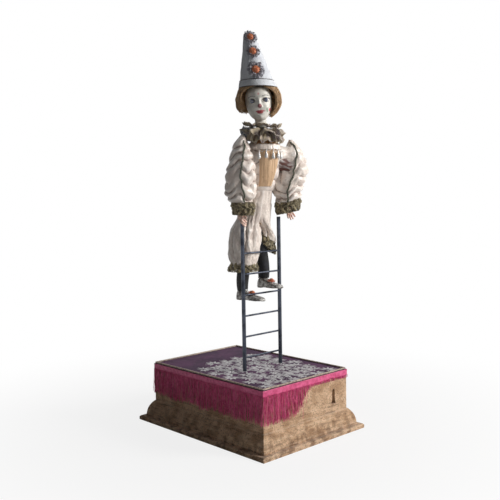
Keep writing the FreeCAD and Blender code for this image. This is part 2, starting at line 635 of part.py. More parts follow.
def build_linkage():
    """Lift lever with its roller, and the rod that runs up inside the left rail."""
    angle = math.radians(LEVER_SWING)
    pivot = Vector(LEVER_PIVOT_X, LEVER_Y, LEVER_Z)
    along = Vector(-math.cos(angle), 0, math.sin(angle))
    side = Vector(math.sin(angle), 0, math.cos(angle))
    reach = LEVER_REACH / math.cos(angle)
    half = LEVER_HEIGHT / 2
    end = pivot + along * (reach + 6)
    bar = polygon_face([pivot + side * half, end + side * half, end - side * half, pivot - side * half])
    bar = bar.extrude(ALONG_Y * LEVER_BAR)
    hub = bar_y(LEVER_PIVOT_X, LEVER_Z, REAR_PLATE_Y + PLATE + 1, BRACKET_Y - 1, STUD_RADIUS + 2.5)
    slot_half = ROD_PIN + 0.12
    slot = []
    for shift in (-1.2, 1.2):
        centre = pivot + along * (reach + shift)
        slot.append(bar_y(centre.x, centre.z, LEVER_Y - 1, LEVER_Y + LEVER_BAR + 1, slot_half))
    low, high = pivot + along * (reach - 1.2), pivot + along * (reach + 1.2)
    middle = polygon_face([low + side * slot_half, high + side * slot_half, high - side * slot_half,
                           low - side * slot_half])
    middle.translate(ALONG_Y * -1)
    slot.append(middle.extrude(ALONG_Y * (LEVER_BAR + 2)))
    stud_bore = bar_y(LEVER_PIVOT_X, LEVER_Z, REAR_PLATE_Y, BRACKET_Y, STUD_RADIUS + RUNNING)
    roller_at = pivot + along * ROLLER_ARM
    pin = bar_y(roller_at.x, roller_at.z, LEVER_Y, CAM_Y + CAM_THICKNESS + 1.5, 1.5)
    lever = bar.fuse([hub, pin]).cut(slot + [stud_bore]).removeSplitter()
    roller = bar_y(roller_at.x, roller_at.z, CAM_Y, CAM_Y + CAM_THICKNESS, ROLLER_RADIUS)
    export("lift_lever", lever, roller.cut(pin))

    foot = Vector(LEFT_RAIL_X, LADDER_Y, PIN_Z - 3)
    neck = Vector(LEFT_RAIL_X, LADDER_Y, SHOULDER_Z - RACK_TAIL)
    round_rod = rod(foot, neck, ROD_RADIUS)
    rod_pin = bar_y(LEFT_RAIL_X, PIN_Z, LEVER_Y - 1, LADDER_Y, ROD_PIN)
    top = SHOULDER_Z + ROD_TRAVEL + 3.5
    rack = block((LEFT_RAIL_X - ROD_RADIUS, LADDER_Y - ROD_RADIUS, neck.z),
                 (LEFT_RAIL_X + ROD_RADIUS, RACK_PITCH_Y + GEAR_ROD_MODULE, top))
    pitch = math.pi * GEAR_ROD_MODULE
    slope = math.tan(math.radians(PRESSURE_ANGLE))
    root_y = RACK_PITCH_Y - 1.25 * GEAR_ROD_MODULE
    tip_y = RACK_PITCH_Y + GEAR_ROD_MODULE + 0.5
    cuts = []
    for index in range(-2, int((top - SHOULDER_Z) / pitch) + 2):
        z = SHOULDER_Z + index * pitch
        half_root = (pitch / 2 + BACKLASH * GEAR_ROD_MODULE) / 2 - 1.25 * GEAR_ROD_MODULE * slope
        half_tip = half_root + (tip_y - root_y) * slope
        gap = polygon_face([
            Vector(LEFT_RAIL_X - ROD_RADIUS - 1, root_y, z - half_root),
            Vector(LEFT_RAIL_X - ROD_RADIUS - 1, root_y, z + half_root),
            Vector(LEFT_RAIL_X - ROD_RADIUS - 1, tip_y, z + half_tip),
            Vector(LEFT_RAIL_X - ROD_RADIUS - 1, tip_y, z - half_tip),
        ])
        cuts.append(gap.extrude(ALONG_X * (2 * ROD_RADIUS + 2)))
    export("lift_rod", rack.cut(cuts).fuse([round_rod, rod_pin]).removeSplitter())


def build_stop():
    """Start and stop lever: a knob on the deck, and a brake arm over the great wheel."""
    arm_low = PLATE_TOP + 1.3
    arm_high = arm_low + BRAKE_ARM
    foot = Vector(STOP_X, STOP_Y, arm_low)
    pin = rod(foot, Vector(STOP_X, STOP_Y, BASE_HEIGHT + 6), STOP_PIN)
    knob_foot = Vector(STOP_X, STOP_Y, BASE_HEIGHT + 0.4)
    knob = rod(knob_foot, Vector(STOP_X, STOP_Y, BASE_HEIGHT + 5), STOP_KNOB)
    pad_at = Vector(BARREL_X, GREAT_WHEEL_Y + WHEEL_THICKNESS / 2, arm_low)
    reach = pad_at - foot
    side = Vector(-reach.y, reach.x, 0).normalize() * 2.5
    corners = [foot + side, pad_at + side, pad_at - side, foot - side]
    arm = polygon_face(corners).extrude(UP * (arm_high - arm_low))
    rim = TRAIN_Z + WHEEL_RADIUS + TOOTH_MODULE
    pad = block((pad_at.x - 2.5, pad_at.y - 2, rim + BRAKE_GAP),
                (pad_at.x + 2.5, pad_at.y + 2, arm_low + 1))
    export("stop_lever", pin.fuse([knob, arm, pad]).removeSplitter())


def build_shoulder():
    """Fixed arm tube, shoulder bracket, and the toothed shoulder axle it carries."""
    base = Vector(LEFT_RAIL_X, LADDER_Y, RAIL_TOP)
    tube_top = SHOULDER_Z - RACK_TAIL - ROD_TRAVEL - 2
    export("arm_tube", tube(base, Vector(LEFT_RAIL_X, LADDER_Y, tube_top), RAIL_RADIUS, RAIL_BORE))
    low_y, high_y = LADDER_Y - 5, SHOULDER_Y + 5
    out = 5.5
    cheeks = [
        block((LEFT_RAIL_X + s * out - 1, low_y, tube_top - 8),
              (LEFT_RAIL_X + s * out + 1, high_y, SHOULDER_Z + 6))
        for s in (-1, 1)
    ]
    web = block((LEFT_RAIL_X - out, low_y, tube_top - 8), (LEFT_RAIL_X + out, high_y, tube_top - 2))
    bracket = cheeks[0].fuse([cheeks[1], web])
    tube_low, tube_high = (Vector(LEFT_RAIL_X, LADDER_Y, tube_top + up) for up in (-20, 5))
    axle_low, axle_high = (Vector(LEFT_RAIL_X + x, SHOULDER_Y, SHOULDER_Z) for x in (-20, 20))
    holes = [rod(tube_low, tube_high, RAIL_RADIUS), rod(axle_low, axle_high, ARBOR_RADIUS + RUNNING)]
    export("shoulder_bracket", bracket.cut(holes).removeSplitter())
    axle_start = Vector(LEFT_RAIL_X - out - 3, SHOULDER_Y, SHOULDER_Z)
    axle = rod(axle_start, Vector(AXLE_END, SHOULDER_Y, SHOULDER_Z), ARBOR_RADIUS)
    gear = gear_solid(GEAR_ROD_TEETH, GEAR_ROD_MODULE, Vector(LEFT_RAIL_X - 2.2, SHOULDER_Y, SHOULDER_Z),
                      ALONG_X, ALONG_Y, 4.4, 180.0)
    export("shoulder_axle", axle, gear.cut(axle))


def build_right_arm():
    """Right hand on the rail, and the sleeve with its cuff around the fixed arm."""
    base = Vector(LEFT_RAIL_X, LADDER_Y, RAIL_TOP)
    core = rod(base - UP * 40, base + UP * 100, RAIL_RADIUS)
    hand = level_loft([
        (LEFT_RAIL_X - 2, LADDER_Y - 2, 334, 7, 8),
        (LEFT_RAIL_X - 2, LADDER_Y - 1, 345, 9, 10),
        (LEFT_RAIL_X - 2, LADDER_Y, 358, 9, 9),
        (LEFT_RAIL_X - 2, LADDER_Y, 372, 8, 8),
    ])
    export("right_hand", hand.cut(core))
    cuff = level_loft([
        (ARM_X + 8, LADDER_Y, 362, 15, 14),
        (ARM_X + 6, LADDER_Y, 370, 19, 17),
        (ARM_X + 6, LADDER_Y, 380, 13, 13),
    ])
    export("right_cuff", cuff.cut([core, hand]))
    sleeve = level_loft([
        (ARM_X + 6, LADDER_Y, 380, 13, 13),
        (ARM_X + 1, LADDER_Y, 390, 20, 19),
        (ARM_X, LADDER_Y, 415, 21.5, 22),
        (ARM_X, LADDER_Y, 438, 21, 22),
        (ARM_X + 1, LADDER_Y + 3, 458, 20, 21),
        (ARM_X + 2, LADDER_Y + 5, 472, 17, 17),
        (ARM_X + 3, LADDER_Y + 6, 478, 9, 9),
    ])
    sweep_start = Vector(LEFT_RAIL_X - 11, SHOULDER_Y, SHOULDER_Z)
    sweep = rod(sweep_start, Vector(0, SHOULDER_Y, SHOULDER_Z), 13.0)
    slot_low = SHOULDER_Z - RACK_TAIL - ROD_TRAVEL - 11
    slot = block((LEFT_RAIL_X - 8, LADDER_Y - 7, slot_low),
                 (LEFT_RAIL_X + 20, SHOULDER_Y + 7, SHOULDER_Z + ARM_SLOT_TOP))
    export("right_sleeve", sleeve.cut([core, sweep, slot]))


def torso_sections():
    """Level ovals of the body core, from the seat to the neck."""
    c = CHEST
    return [
        (15, -5, 342, 22, 17), (14.5, -11, 372, 20, 16), (14, -20, 398, 18, 16),
        (c.x + 1, -29, 430, 22, 19), (c.x + 1, -33, 455, 23, 18), (c.x, -34, 472, 17, 14),
        (c.x, -34, 484, 11, 11),
    ]


def shoulder_yoke():
    """Yoke on the body that the left arm hangs in; its cross pin runs from front to back."""
    web = ARM_HUB + 2
    cheek = ARM_HUB_HALF + 0.4
    outer = cheek + 1.6
    outline = [(-web - 2, -outer), (4, -outer), (4, -cheek), (-web, -cheek), (-web, cheek), (4, cheek),
               (4, outer), (-web - 2, outer)]
    corners = [LEFT_SHOULDER + LEFTWARD * l + FORWARD * f - UP * 3.5 for l, f in outline]
    yoke = polygon_face(corners).extrude(UP * 7)
    bar = rod(LEFT_SHOULDER - LEFTWARD * 30, LEFT_SHOULDER - LEFTWARD * web, ARM_PIN)
    pin = rod(LEFT_SHOULDER - FORWARD * outer, LEFT_SHOULDER + FORWARD * outer, ARM_PIN)
    return yoke.fuse([bar, pin]).removeSplitter()


def head_place():
    """Placement of the head's own frame: pivot at the neck, +Z up its axis, -Y its face."""
    facing = Rotation(UP, -HEAD_TURN)
    sideways = facing.multVec(ALONG_Y)
    lean = Rotation(sideways, -HEAD_LEAN)
    return Placement(CHEST + UP * NECK_Z, lean.multiply(facing))


def build_torso():
    """Body core, jacket, trousers seat, vest panel, beads and ruff."""
    core = level_loft(torso_sections(), TORSO_TURN)
    place = head_place()
    socket = rod(place.multVec(Vector(0, 0, -42)), place.multVec(Vector(0, 0, 10)), NECK_RADIUS + 0.3)
    axle = rod(Vector(-60, SHOULDER_Y, SHOULDER_Z), Vector(AXLE_END, SHOULDER_Y, SHOULDER_Z), ARBOR_RADIUS)
    hip_room = rod(Vector(-20, HIP_Y, HIP_Z), Vector(60, HIP_Y, HIP_Z), HIP_ROOM)
    hip_pin = rod(Vector(-10, HIP_Y, HIP_Z), Vector(44, HIP_Y, HIP_Z), HIP_PIN)
    web = block((HIP_MIDDLE - 1, HIP_Y - 9, HIP_Z - 11), (HIP_MIDDLE + 1, HIP_Y + 9, HIP_Z + 20))
    arm_pin = shoulder_yoke()
    carved = core.cut([socket, axle, arm_pin, hip_room]).fuse(web).cut(hip_pin).removeSplitter()
    export("torso_core", carved)
    export("limb_pins", arm_pin, hip_pin)
    skin = core.fuse(web)
    c = CHEST
    jacket = level_loft([
        (14, -20, 399, 23, 21), (c.x + 1, -27, 418, 25, 23), (c.x + 1.5, -31, 440, 27.5, 24),
        (c.x + 1, -33, 458, 27.5, 23), (c.x, -34, 470, 25, 20), (c.x, -34, 481, 15, 14),
    ], TORSO_TURN)
    right_side = block((-60, -90, 380), (JACKET_SIDE, 40, 500))
    panel_zone = vest_zone()
    export("jacket", jacket.cut([skin, right_side, axle, arm_pin, socket, panel_zone]))
    panel = jacket.cut([skin, right_side]).common(panel_zone)
    export("vest_panel", panel)
    export("bead_trim", *beads_on(panel))
    seat = level_loft([
        (15, -4, 338, 27, 24), (15, -6, 355, 28, 25), (14.5, -12, 380, 26, 23), (14, -19, 398, 22, 20),
    ], TORSO_TURN)
    export("trousers_seat", seat.cut([skin, hip_room, block((-60, -90, 320), (-11.5, 60, 420))]))
    ruff = level_loft([
        (c.x, c.y, 482, 16, 15), (c.x, c.y, 487, RUFF_RADIUS, 30),
        (c.x - 1, c.y + 1, 495, RUFF_RADIUS + 0.5, 30), (c.x - 2, c.y + 2, 503, 25, 24),
        (c.x - 2, c.y + 2, 507, 17, 16),
    ], TORSO_TURN)
    hole = rod(place.multVec(Vector(0, 0, -40)), place.multVec(Vector(0, 0, 20)), NECK_RADIUS + 0.8)
    export("ruff", ruff.cut([hole, skin, right_side]))


def beads_on(panel):
    """Row of drop beads, each brought up against the satin panel."""
    beads = []
    for index in range(BEAD_COUNT):
        share = 2 * index / (BEAD_COUNT - 1) - 1
        sag = BEAD_DROP * (1 - share * share)
        at = CHEST + LEFTWARD * (1.5 + BEAD_SPREAD * share) + FORWARD * 30 + UP * (SHOULDER_Z - 1.2 - sag)
        cone = Part.makeCone(BEAD_RADIUS, 0.8, BEAD_HEIGHT, at, UP)
        bead = cone.fuse(Part.makeSphere(BEAD_RADIUS, at)).removeSplitter()
        for _ in range(4):
            bead.translate(FORWARD * (BEAD_GAP - bead.distToShape(panel)[0]))
        beads.append(bead)
    return beads


def vest_zone():
    """Wedge in front of the chest where the satin panel lies."""
    points = []
    for spread, z in ((-17, 466), (20, 466), (10, 401), (-7, 401)):
        points.append(CHEST + LEFTWARD * spread + FORWARD * 5 + UP * z)
    return polygon_face(points).extrude(FORWARD * 40)


def build_head():
    """Bisque head and neck, glass eyes, wig, hat, band and rosettes, in the head's own frame."""
    place = head_place().toMatrix()

    def put(name, *solids):
        export(name, *[s.transformed(place, True) for s in solids])

    outer = level_loft([
        (0, -2, 11, 9, 9), (0, -5, 15, 14, 15), (0, -4, 24, 19, 21), (0, -2, 35, 21, 24),
        (0, 0, 47, 22, 25.5), (0, 1, 58, 20, 23), (0, 1, 66, 14, 16), (0, 1, 69, 6, 7),
    ])
    inner = level_loft([
        (0, -2, 20, 10, 12), (0, -1, 35, 16, 19), (0, 1, 50, 17, 20), (0, 1, 60, 12, 14), (0, 1, 64, 6, 7),
    ])
    neck = rod(Vector(0, 0, -40), Vector(0, 0, 18), NECK_RADIUS)
    nose = Part.makeCone(3.2, 1.0, 8.5, Vector(0, -25.8, 29.5), Vector(0, 0.12, 1))
    eye_at = [Vector(side * 8.2, -18.2, 40.5) for side in (-1, 1)]
    eyes = [Part.makeSphere(5.0, at) for at in eye_at]
    shell = outer.fuse([neck, nose]).cut([inner] + eyes)
    put("head", shell.removeSplitter())
    put("glass_eyes", *eyes)
    wig = level_loft([
        (0, 4, 15, 22, 22), (0, 4, 20, 33, 28), (0, 3, 34, 37, 31), (0, 2, 48, 36, 31),
        (0, 2, 58, 31, 29), (0, 2, HAT_BASE, HAT_RADIUS - 1.5, HAT_RADIUS - 1.5),
    ])
    cavity = level_loft([
        (0, -2, 11, 10, 10), (0, -5, 15, 15, 16), (0, -4, 24, 20, 22), (0, -2, 35, 22, 25),
        (0, 0, 47, 23, 26.5), (0, 1, 58, 21, 24), (0, 1, 68, 20, 23),
    ])
    face_opening = block((-21, -60, 0), (21, -6, 61))
    side_opening = block((-50, -60, 0), (50, -14, 60))
    lower = rod(Vector(0, 0, 0), Vector(0, 0, 22), NECK_RADIUS + 1)
    put("wig", wig.cut([cavity, face_opening, side_opening, lower]))
    slope = (HAT_RADIUS - HAT_TOP_RADIUS) / (HAT_TOP - HAT_BASE)
    start = Vector(0, 2, HAT_BASE)
    cone = Part.makeCone(HAT_RADIUS, HAT_TOP_RADIUS, HAT_TOP - HAT_BASE, start, UP)
    inside = Part.makeCone(HAT_RADIUS - 1.2, HAT_TOP_RADIUS - 1.2, HAT_TOP - HAT_BASE - 1.5, start, UP)
    head_clear = level_loft([(0, 1, 56, 22, 25), (0, 1, 66, 15.5, 17.5), (0, 1, 69.5, 8, 9)])
    band = Part.makeCone(HAT_RADIUS + 1, HAT_RADIUS + 1 - slope * HAT_BAND, HAT_BAND, start, UP)
    band = band.cut(Part.makeCone(HAT_RADIUS, HAT_RADIUS - slope * HAT_BAND, HAT_BAND, start, UP))
    put("hat", cone.cut([inside, head_clear]), band)
    rosettes = []
    for z, radius in ((142, 5.5), (119.5, 5.8), (90, 8.0)):
        surface = HAT_RADIUS - slope * (z - HAT_BASE)
        normal = Vector(0, -1, slope).normalize()
        at = Vector(0, 2 - surface, z) + normal * 0.1
        rosette = Part.makeCone(radius, radius * 0.55, 2.2, at, normal)
        rosettes.append(rosette.fuse(Part.makeSphere(radius * 0.38, at + normal * 2.4)).cut(cone))
    put("hat_rosettes", *rosettes)


def build_left_arm():
    """Left arm rod with its hub, sleeve, cuff and hand."""
    shoulder = LEFT_SHOULDER
    wrist = Vector(64, -45, 372)
    hub = rod(shoulder - FORWARD * ARM_HUB_HALF, shoulder + FORWARD * ARM_HUB_HALF, ARM_HUB)
    bore = rod(shoulder - FORWARD * 20, shoulder + FORWARD * 20, ARM_PIN + RUNNING)
    limb = rod(shoulder, wrist, ARM_CORE)
    export("left_arm_core", limb.fuse(hub).cut(bore).removeSplitter())
    sleeve = level_loft([
        (wrist.x, wrist.y - 1, 382, 15, 14),
        (wrist.x - 1, wrist.y - 3, 391, 23, 20),
        (wrist.x - 1, -50, 408, 23.5, 21),
        (wrist.x, -54, 430, 19.5, 20),
        (wrist.x + 2, -57, 452, 13.5, 16),
        (wrist.x + 2, -57, 468, 12.5, 14),
        (wrist.x + 2, -57, 475, 7, 8),
    ], TORSO_TURN)
    room_half = ARM_HUB_HALF + 4
    room = rod(shoulder - FORWARD * room_half, shoulder + FORWARD * room_half, ARM_ROOM)
    inner_side = block((0, -90, 360), (wrist.x - 19.5, 0, 482))
    export("left_sleeve", sleeve.cut([limb, room, inner_side]))
    cuff = level_loft([
        (wrist.x, wrist.y - 1, 365, 17, 14), (wrist.x, wrist.y - 1, 371, 19.5, 16),
        (wrist.x, wrist.y - 1, 381.6, 14, 13),
    ], TORSO_TURN)
    hand = level_loft([
        (wrist.x - 1, wrist.y - 2, 350, 4, 4), (wrist.x, wrist.y - 1, 356, 7.5, 5.5),
        (wrist.x, wrist.y - 1, 364, 8, 6), (wrist.x, wrist.y, 371.5, 5.5, 5),
    ], TORSO_TURN)
    export("left_cuff", cuff.cut([limb, hand]))
    export("left_hand", hand.cut(limb))


def build_leg(side, hip, ankle, sole, tilt):
    """One leg: limb, trouser leg, lace hem, shoe."""
    knee = hip + (ankle - hip) * 0.5
    limb = level_loft([
        (ankle.x, ankle.y, sole + 12, 8, 9), (ankle.x, ankle.y, ankle.z + 20, 10, 11),
        (knee.x, knee.y, knee.z, 10, 11), (hip.x, hip.y, hip.z - 6, 11, 11),
    ])
    boss = rod(hip - ALONG_X * 10, hip + ALONG_X * 10, HIP_BOSS)
    bore = rod(hip - ALONG_X * 12, hip + ALONG_X * 12, HIP_PIN + RUNNING)
    toe_y = ankle.y + 9 - SHOE_LENGTH
    shoe = upright_loft([
        (ankle.x, ankle.y + 11, sole + 8, SHOE_WIDTH * 0.28, 6.0),
        (ankle.x, ankle.y + 4, sole + 10, SHOE_WIDTH * 0.45, 9.5),
        (ankle.x, ankle.y - 10, sole + 9, SHOE_WIDTH * 0.47, 8.5),
        (ankle.x, ankle.y - 22, sole + 5 + tilt * 0.4, SHOE_WIDTH * 0.5, 4.5),
        (ankle.x, toe_y + 14, sole + 4 + tilt * 0.8, SHOE_WIDTH * 0.48, 3.8),
        (ankle.x, toe_y + 1, sole + 3.4 + tilt, SHOE_WIDTH * 0.22, 2.6),
    ])
    leg = limb.fuse(boss).cut(bore)
    export(side + "_leg", leg.cut(shoe).removeSplitter())
    export(side + "_shoe", shoe)
    return leg


def build_legs():
    """Both legs in their trouser legs."""
    right_hip = Vector(HIP_MIDDLE - HIP_SPREAD, HIP_Y, HIP_Z)
    left_hip = Vector(HIP_MIDDLE + HIP_SPREAD, HIP_Y, HIP_Z)
    ankle_r = Vector(-6.0, 3.0, RIGHT_SOLE + 15)
    ankle_l = Vector(36.5, -4.0, LEFT_SOLE + 15)
    right_limb = build_leg("right", right_hip, ankle_r, RIGHT_SOLE, 0.0)
    left_limb = build_leg("left", left_hip, ankle_l, LEFT_SOLE, 1.5)
    right_tube = level_loft([
        (-5.5, 4, 268, 22, 20), (-8, 4, 285, 23, 22), (-7.5, 3, 308, 22, 22), (-2.5, 0, 322, 17, 18),
        (2.5, -2, 328, 11.5, 13),
    ])
    right_hem = level_loft([(-5, 4, 256, 24, 21), (-5, 4, 262, 24, 21), (-4, 4, 267.6, 20, 17)])
    left_tube = level_loft([
        (39.5, -1, 302, 16.5, 18), (39, -1, 312, 18, 20), (36.5, -1, 322, 16.5, 18), (31.5, -2, 328, 12, 13),
    ])
    left_hem = level_loft([
        (39.5, -2, 288, 16, 17), (39.5, -2, 295, 16, 18), (39.3, -1, 301.6, 14.5, 15),
    ])
    for name, cloth, hem, limb in (
            ("right", right_tube, right_hem, right_limb), ("left", left_tube, left_hem, left_limb)):
        export(name + "_trouser_leg", cloth.cut(limb), hem.cut(limb))


os.makedirs("parts", exist_ok=True)
build_base()
build_fringes()
build_ladder()
build_frame()
build_barrel()
build_train()
build_linkage()
build_stop()
build_shoulder()
build_right_arm()
build_torso()
build_head()
build_left_arm()
build_legs()
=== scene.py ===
"""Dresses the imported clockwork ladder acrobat: its base, ladder, clothes, hair and face.

Sizes are in millimetres in the code and become metres where a mesh is made.
"""

import logging
import math
import random
from dataclasses import dataclass
from enum import Enum
from typing import Callable, Sequence

import bpy
import numpy as np
from mathutils import Matrix, Vector, noise
from mathutils.bvhtree import BVHTree


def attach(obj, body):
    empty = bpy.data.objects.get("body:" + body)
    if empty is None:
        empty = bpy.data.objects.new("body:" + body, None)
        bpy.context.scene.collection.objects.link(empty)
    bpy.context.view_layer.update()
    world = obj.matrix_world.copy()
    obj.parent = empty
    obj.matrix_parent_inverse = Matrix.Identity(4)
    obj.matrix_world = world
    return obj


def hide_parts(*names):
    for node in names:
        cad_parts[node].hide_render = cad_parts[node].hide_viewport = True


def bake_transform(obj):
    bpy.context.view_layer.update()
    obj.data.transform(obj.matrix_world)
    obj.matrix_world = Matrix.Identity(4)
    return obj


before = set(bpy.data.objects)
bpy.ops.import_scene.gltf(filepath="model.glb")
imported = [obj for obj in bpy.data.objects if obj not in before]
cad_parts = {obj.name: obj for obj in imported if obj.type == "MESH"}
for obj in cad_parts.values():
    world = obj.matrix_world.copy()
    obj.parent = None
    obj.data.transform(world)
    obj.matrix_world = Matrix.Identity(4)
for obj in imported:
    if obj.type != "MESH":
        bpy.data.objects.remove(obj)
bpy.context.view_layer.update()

log = logging.getLogger("acrobat")
MM = 0.001
TINY = 1e-9
Point = Sequence[float]
Colour = tuple[int, int, int]
Array = np.ndarray
Placer = Callable[[Array, Array], Array]
Oval = tuple[float, float, float, float, float]
Piece = bpy.types.Object
Material = bpy.types.Material


class Body(str, Enum):
    """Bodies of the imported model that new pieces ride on."""

    BASE = "base"
    FIGURE = "figure"
    HEAD = "head"
    LEFT_ARM = "left_arm"
    RIGHT_LEG = "right_leg"
    LEFT_LEG = "left_leg"


# The head's place on the neck, in millimetres, and its turn and lean, in degrees.
HEAD_AT = (12.5, -34, 503)
HEAD_TURN = -43
HEAD_LEAN = -9.5
# An eye's offset from the face's middle line and its height in the head, in millimetres.
EYE_SIDE = 11.2
EYE_HEIGHT = 40.4


def linear(colour: Colour) -> tuple[float, float, float, float]:
    """Linear colour of a 0 to 255 screen colour."""
    parts = [c / 255 for c in colour]
    r, g, b = (c / 12.92 if c <= 0.04045 else ((c + 0.055) / 1.055) ** 2.4 for c in parts)
    return r, g, b, 1.0


def maths(kind: str, swapped: bool = False) -> Callable[..., "Socket"]:
    """Method that puts a socket, and the value after it where there is one, through a Math node.

    Args:
        kind: the node's operation.
        swapped: whether the other value comes first.

    Returns:
        The method.
    """

    def act(self: "Socket", *others: "Socket | float") -> "Socket":
        """The operation's result."""
        values = (*others, self) if swapped else (self, *others)
        return self.tree.node("ShaderNodeMath", {"operation": kind}, dict(enumerate(values)))

    return act


class Socket:
    """A node's output that takes part in shader arithmetic."""

    __add__ = __radd__ = maths("ADD")
    __sub__, __rsub__ = maths("SUBTRACT"), maths("SUBTRACT", swapped=True)
    __mul__ = __rmul__ = maths("MULTIPLY")
    __truediv__, __pow__ = maths("DIVIDE"), maths("POWER")
    size, wave = maths("ABSOLUTE"), maths("SINE")
    most, least = maths("MAXIMUM"), maths("MINIMUM")

    def __init__(self, tree: "Shader", link: bpy.types.NodeSocket) -> None:
        """Keep the output and the shader it belongs to."""
        self.tree, self.link = tree, link

    def step(self, low: float, high: float) -> "Socket":
        """Smooth step from 0 at low to 1 at high; low may be the larger."""
        settings = {"interpolation_type": "SMOOTHSTEP"}
        if low < high:
            values = {0: self, 1: low, 2: high, 3: 0.0, 4: 1.0}
        else:
            values = {0: self, 1: high, 2: low, 3: 1.0, 4: 0.0}
        return self.tree.node("ShaderNodeMapRange", settings, values)


class Shader:
    """The nodes of a procedural material, or of the world, under construction."""

    def __init__(self, owner: str | bpy.types.World) -> None:
        """Start without nodes, in a new material of that name or in the world."""
        self.owner = bpy.data.materials.new(owner) if isinstance(owner, str) else owner
        self.owner.use_nodes = True
        self.nodes, self.links = self.owner.node_tree.nodes, self.owner.node_tree.links
        self.nodes.clear()

    def node(self, kind: str, settings: dict | None = None, values: dict | None = None,
             out: int | str = 0) -> Socket | None:
        """Add a node.

        Args:
            kind: the node's type.
            settings: attributes set before its sockets.
            values: numbers, colours or links by socket name or index.
            out: the output that is returned.

        Returns:
            The chosen output, or none where the node has no output.
        """
        node = self.nodes.new(kind)
        for key, value in (settings or {}).items():
            setattr(node, key, value)
        for key, value in (values or {}).items():
            if isinstance(value, Socket):
                self.links.new(value.link, node.inputs[key])
            else:
                node.inputs[key].default_value = value
        return Socket(self, node.outputs[out]) if len(node.outputs) else None

    def place(self) -> Socket:
        """Object coordinates, which are the part's own frame, in metres."""
        return self.node("ShaderNodeTexCoord", out="Object")

    def uv(self) -> Socket:
        """The piece's own UV map."""
        return self.node("ShaderNodeTexCoord", out="UV")

    def told(self, name: str) -> Socket:
        """A number kept on the mesh by name."""
        return self.node("ShaderNodeAttribute", {"attribute_name": name}, None, "Fac")

    def parts(self, vector: Socket) -> tuple[Socket, Socket, Socket]:
        """The three numbers of a vector."""
        node = self.nodes.new("ShaderNodeSeparateXYZ")
        self.links.new(vector.link, node.inputs[0])
        return tuple(Socket(self, node.outputs[i]) for i in range(3))

    def moved(self, at: Matrix) -> Socket:
        """Object coordinates seen from a local frame, in metres."""
        inverse = at.inverted()
        values = {"Vector": self.place(), "Location": inverse.translation, "Rotation": inverse.to_euler()}
        return self.node("ShaderNodeMapping", None, values)

    def noise(self, where: Socket, scale: float, detail: float = 3.0, rough: float = 0.55) -> Socket:
        """Noise from 0 to 1; scale is per metre."""
        return self.node("ShaderNodeTexNoise", None,
                         {"Vector": where, "Scale": scale, "Detail": detail, "Roughness": rough})

    def cells(self, where: Socket, scale: float, feature: str = "F1") -> Socket:
        """Distance in a cell pattern; scale is per metre."""
        return self.node("ShaderNodeTexVoronoi", {"feature": feature}, {"Vector": where, "Scale": scale})

    def mix(self, share: "Socket | float", low: "Socket | Colour", high: "Socket | Colour") -> Socket:
        """Colour between two, by share."""
        low, high = (c if isinstance(c, Socket) else linear(c) for c in (low, high))
        return self.node("ShaderNodeMix", {"data_type": "RGBA"}, {0: share, 6: low, 7: high}, 2)

    def folds(self, base: Socket, *looks: tuple[Colour, float, float, float]) -> Socket:
        """Paint shade into a cloth's fold valleys and a highlight onto its ridges.

        Args:
            base: the cloth's colour.
            looks: for the painted shade in its valleys, then the painted highlight on its ridges: colour,
                start, end and share.

        Returns:
            The colour with the painted shade and highlight.
        """
        hollow = self.told("hollow")
        # Painted shade where the cloth lies in a valley, painted highlight where it rises to a ridge.
        for sign, (colour, low, high, share) in zip((1.0, -1.0), looks):
            base = self.mix((hollow * sign).step(low, high) * share, base, colour)
        return base

    def bump(self, height: Socket, depth: float) -> Socket:
        """Normal of a relief; depth is in millimetres."""
        return self.node("ShaderNodeBump", None, {"Height": height, "Distance": depth * MM, "Strength": 1.0})

    def done(self, **values: "Socket | float | tuple") -> Material:
        """Close the material with a surface shader.

        Args:
            values: the shader's sockets, with underscores for spaces.

        Returns:
            The material.
        """
        sockets = {key.replace("_", " "): value for key, value in values.items()}
        surface = self.node("ShaderNodeBsdfPrincipled", None, sockets)
        self.node("ShaderNodeOutputMaterial", None, {"Surface": surface})
        return self.owner


@dataclass(frozen=True)
class Flock:
    """Worn flocked paper over wood."""

    light: Colour = (222, 188, 154)
    dark: Colour = (184, 146, 110)
    spot: Colour = (96, 66, 44)
    rubbed: Colour = (232, 204, 172)
    edge: Colour = (222, 196, 168)

    def make(self) -> Material:
        """Mottled nap, rubbed lighter along the moulding's edges and pitted with dark spots."""
        s = Shader("worn_flock")
        at = s.place()
        z = s.parts(at)[2]
        wide = s.noise(at, 46, 4)
        fine = s.noise(at, 420, 3, 0.7)
        grain = s.noise(at, 1700, 2)
        drawn = s.node("ShaderNodeMapping", None, {"Vector": at, "Scale": (0.12, 0.12, 1.0)})
        wear = s.noise(drawn, 260, 3)
        base = s.mix(wide.step(0.38, 0.64), self.light, self.dark)
        base = s.mix(fine.step(0.50, 0.60) * 0.75, base, s.mix(0.5, base, self.spot))
        low = z.step(0.07, 0.045)
        base = s.mix(wear.step(0.54, 0.66) * 0.5 * low, base, self.spot)
        base = s.mix(wear.step(0.44, 0.34) * 0.5 * low, base, self.rubbed)
        pits = s.noise(at, 620, 2, 0.4).step(0.60, 0.66)
        base = s.mix(pits * 0.7, base, self.spot)
        rub = ((z - 0.0335).size().step(0.0016, 0.0) + (z - 0.0102).size().step(0.0014, 0.0)
               + (z - 0.0058).size().step(0.0016, 0.0)).least(1.0)
        base = s.mix(rub * fine.step(0.42, 0.58) * 0.8, base, self.edge)
        soil = z.step(0.05, 0.0) * s.noise(at, 90, 3).step(0.45, 0.62)
        base = s.mix(soil * 0.55, base, self.spot)
        height = fine * 0.8 + grain * 0.5 + wide * 1.5
        return s.done(Base_Color=base, Roughness=0.92, Normal=s.bump(height, 0.9), Sheen_Weight=0.25,
                      Sheen_Roughness=0.6, Specular_IOR_Level=0.2)


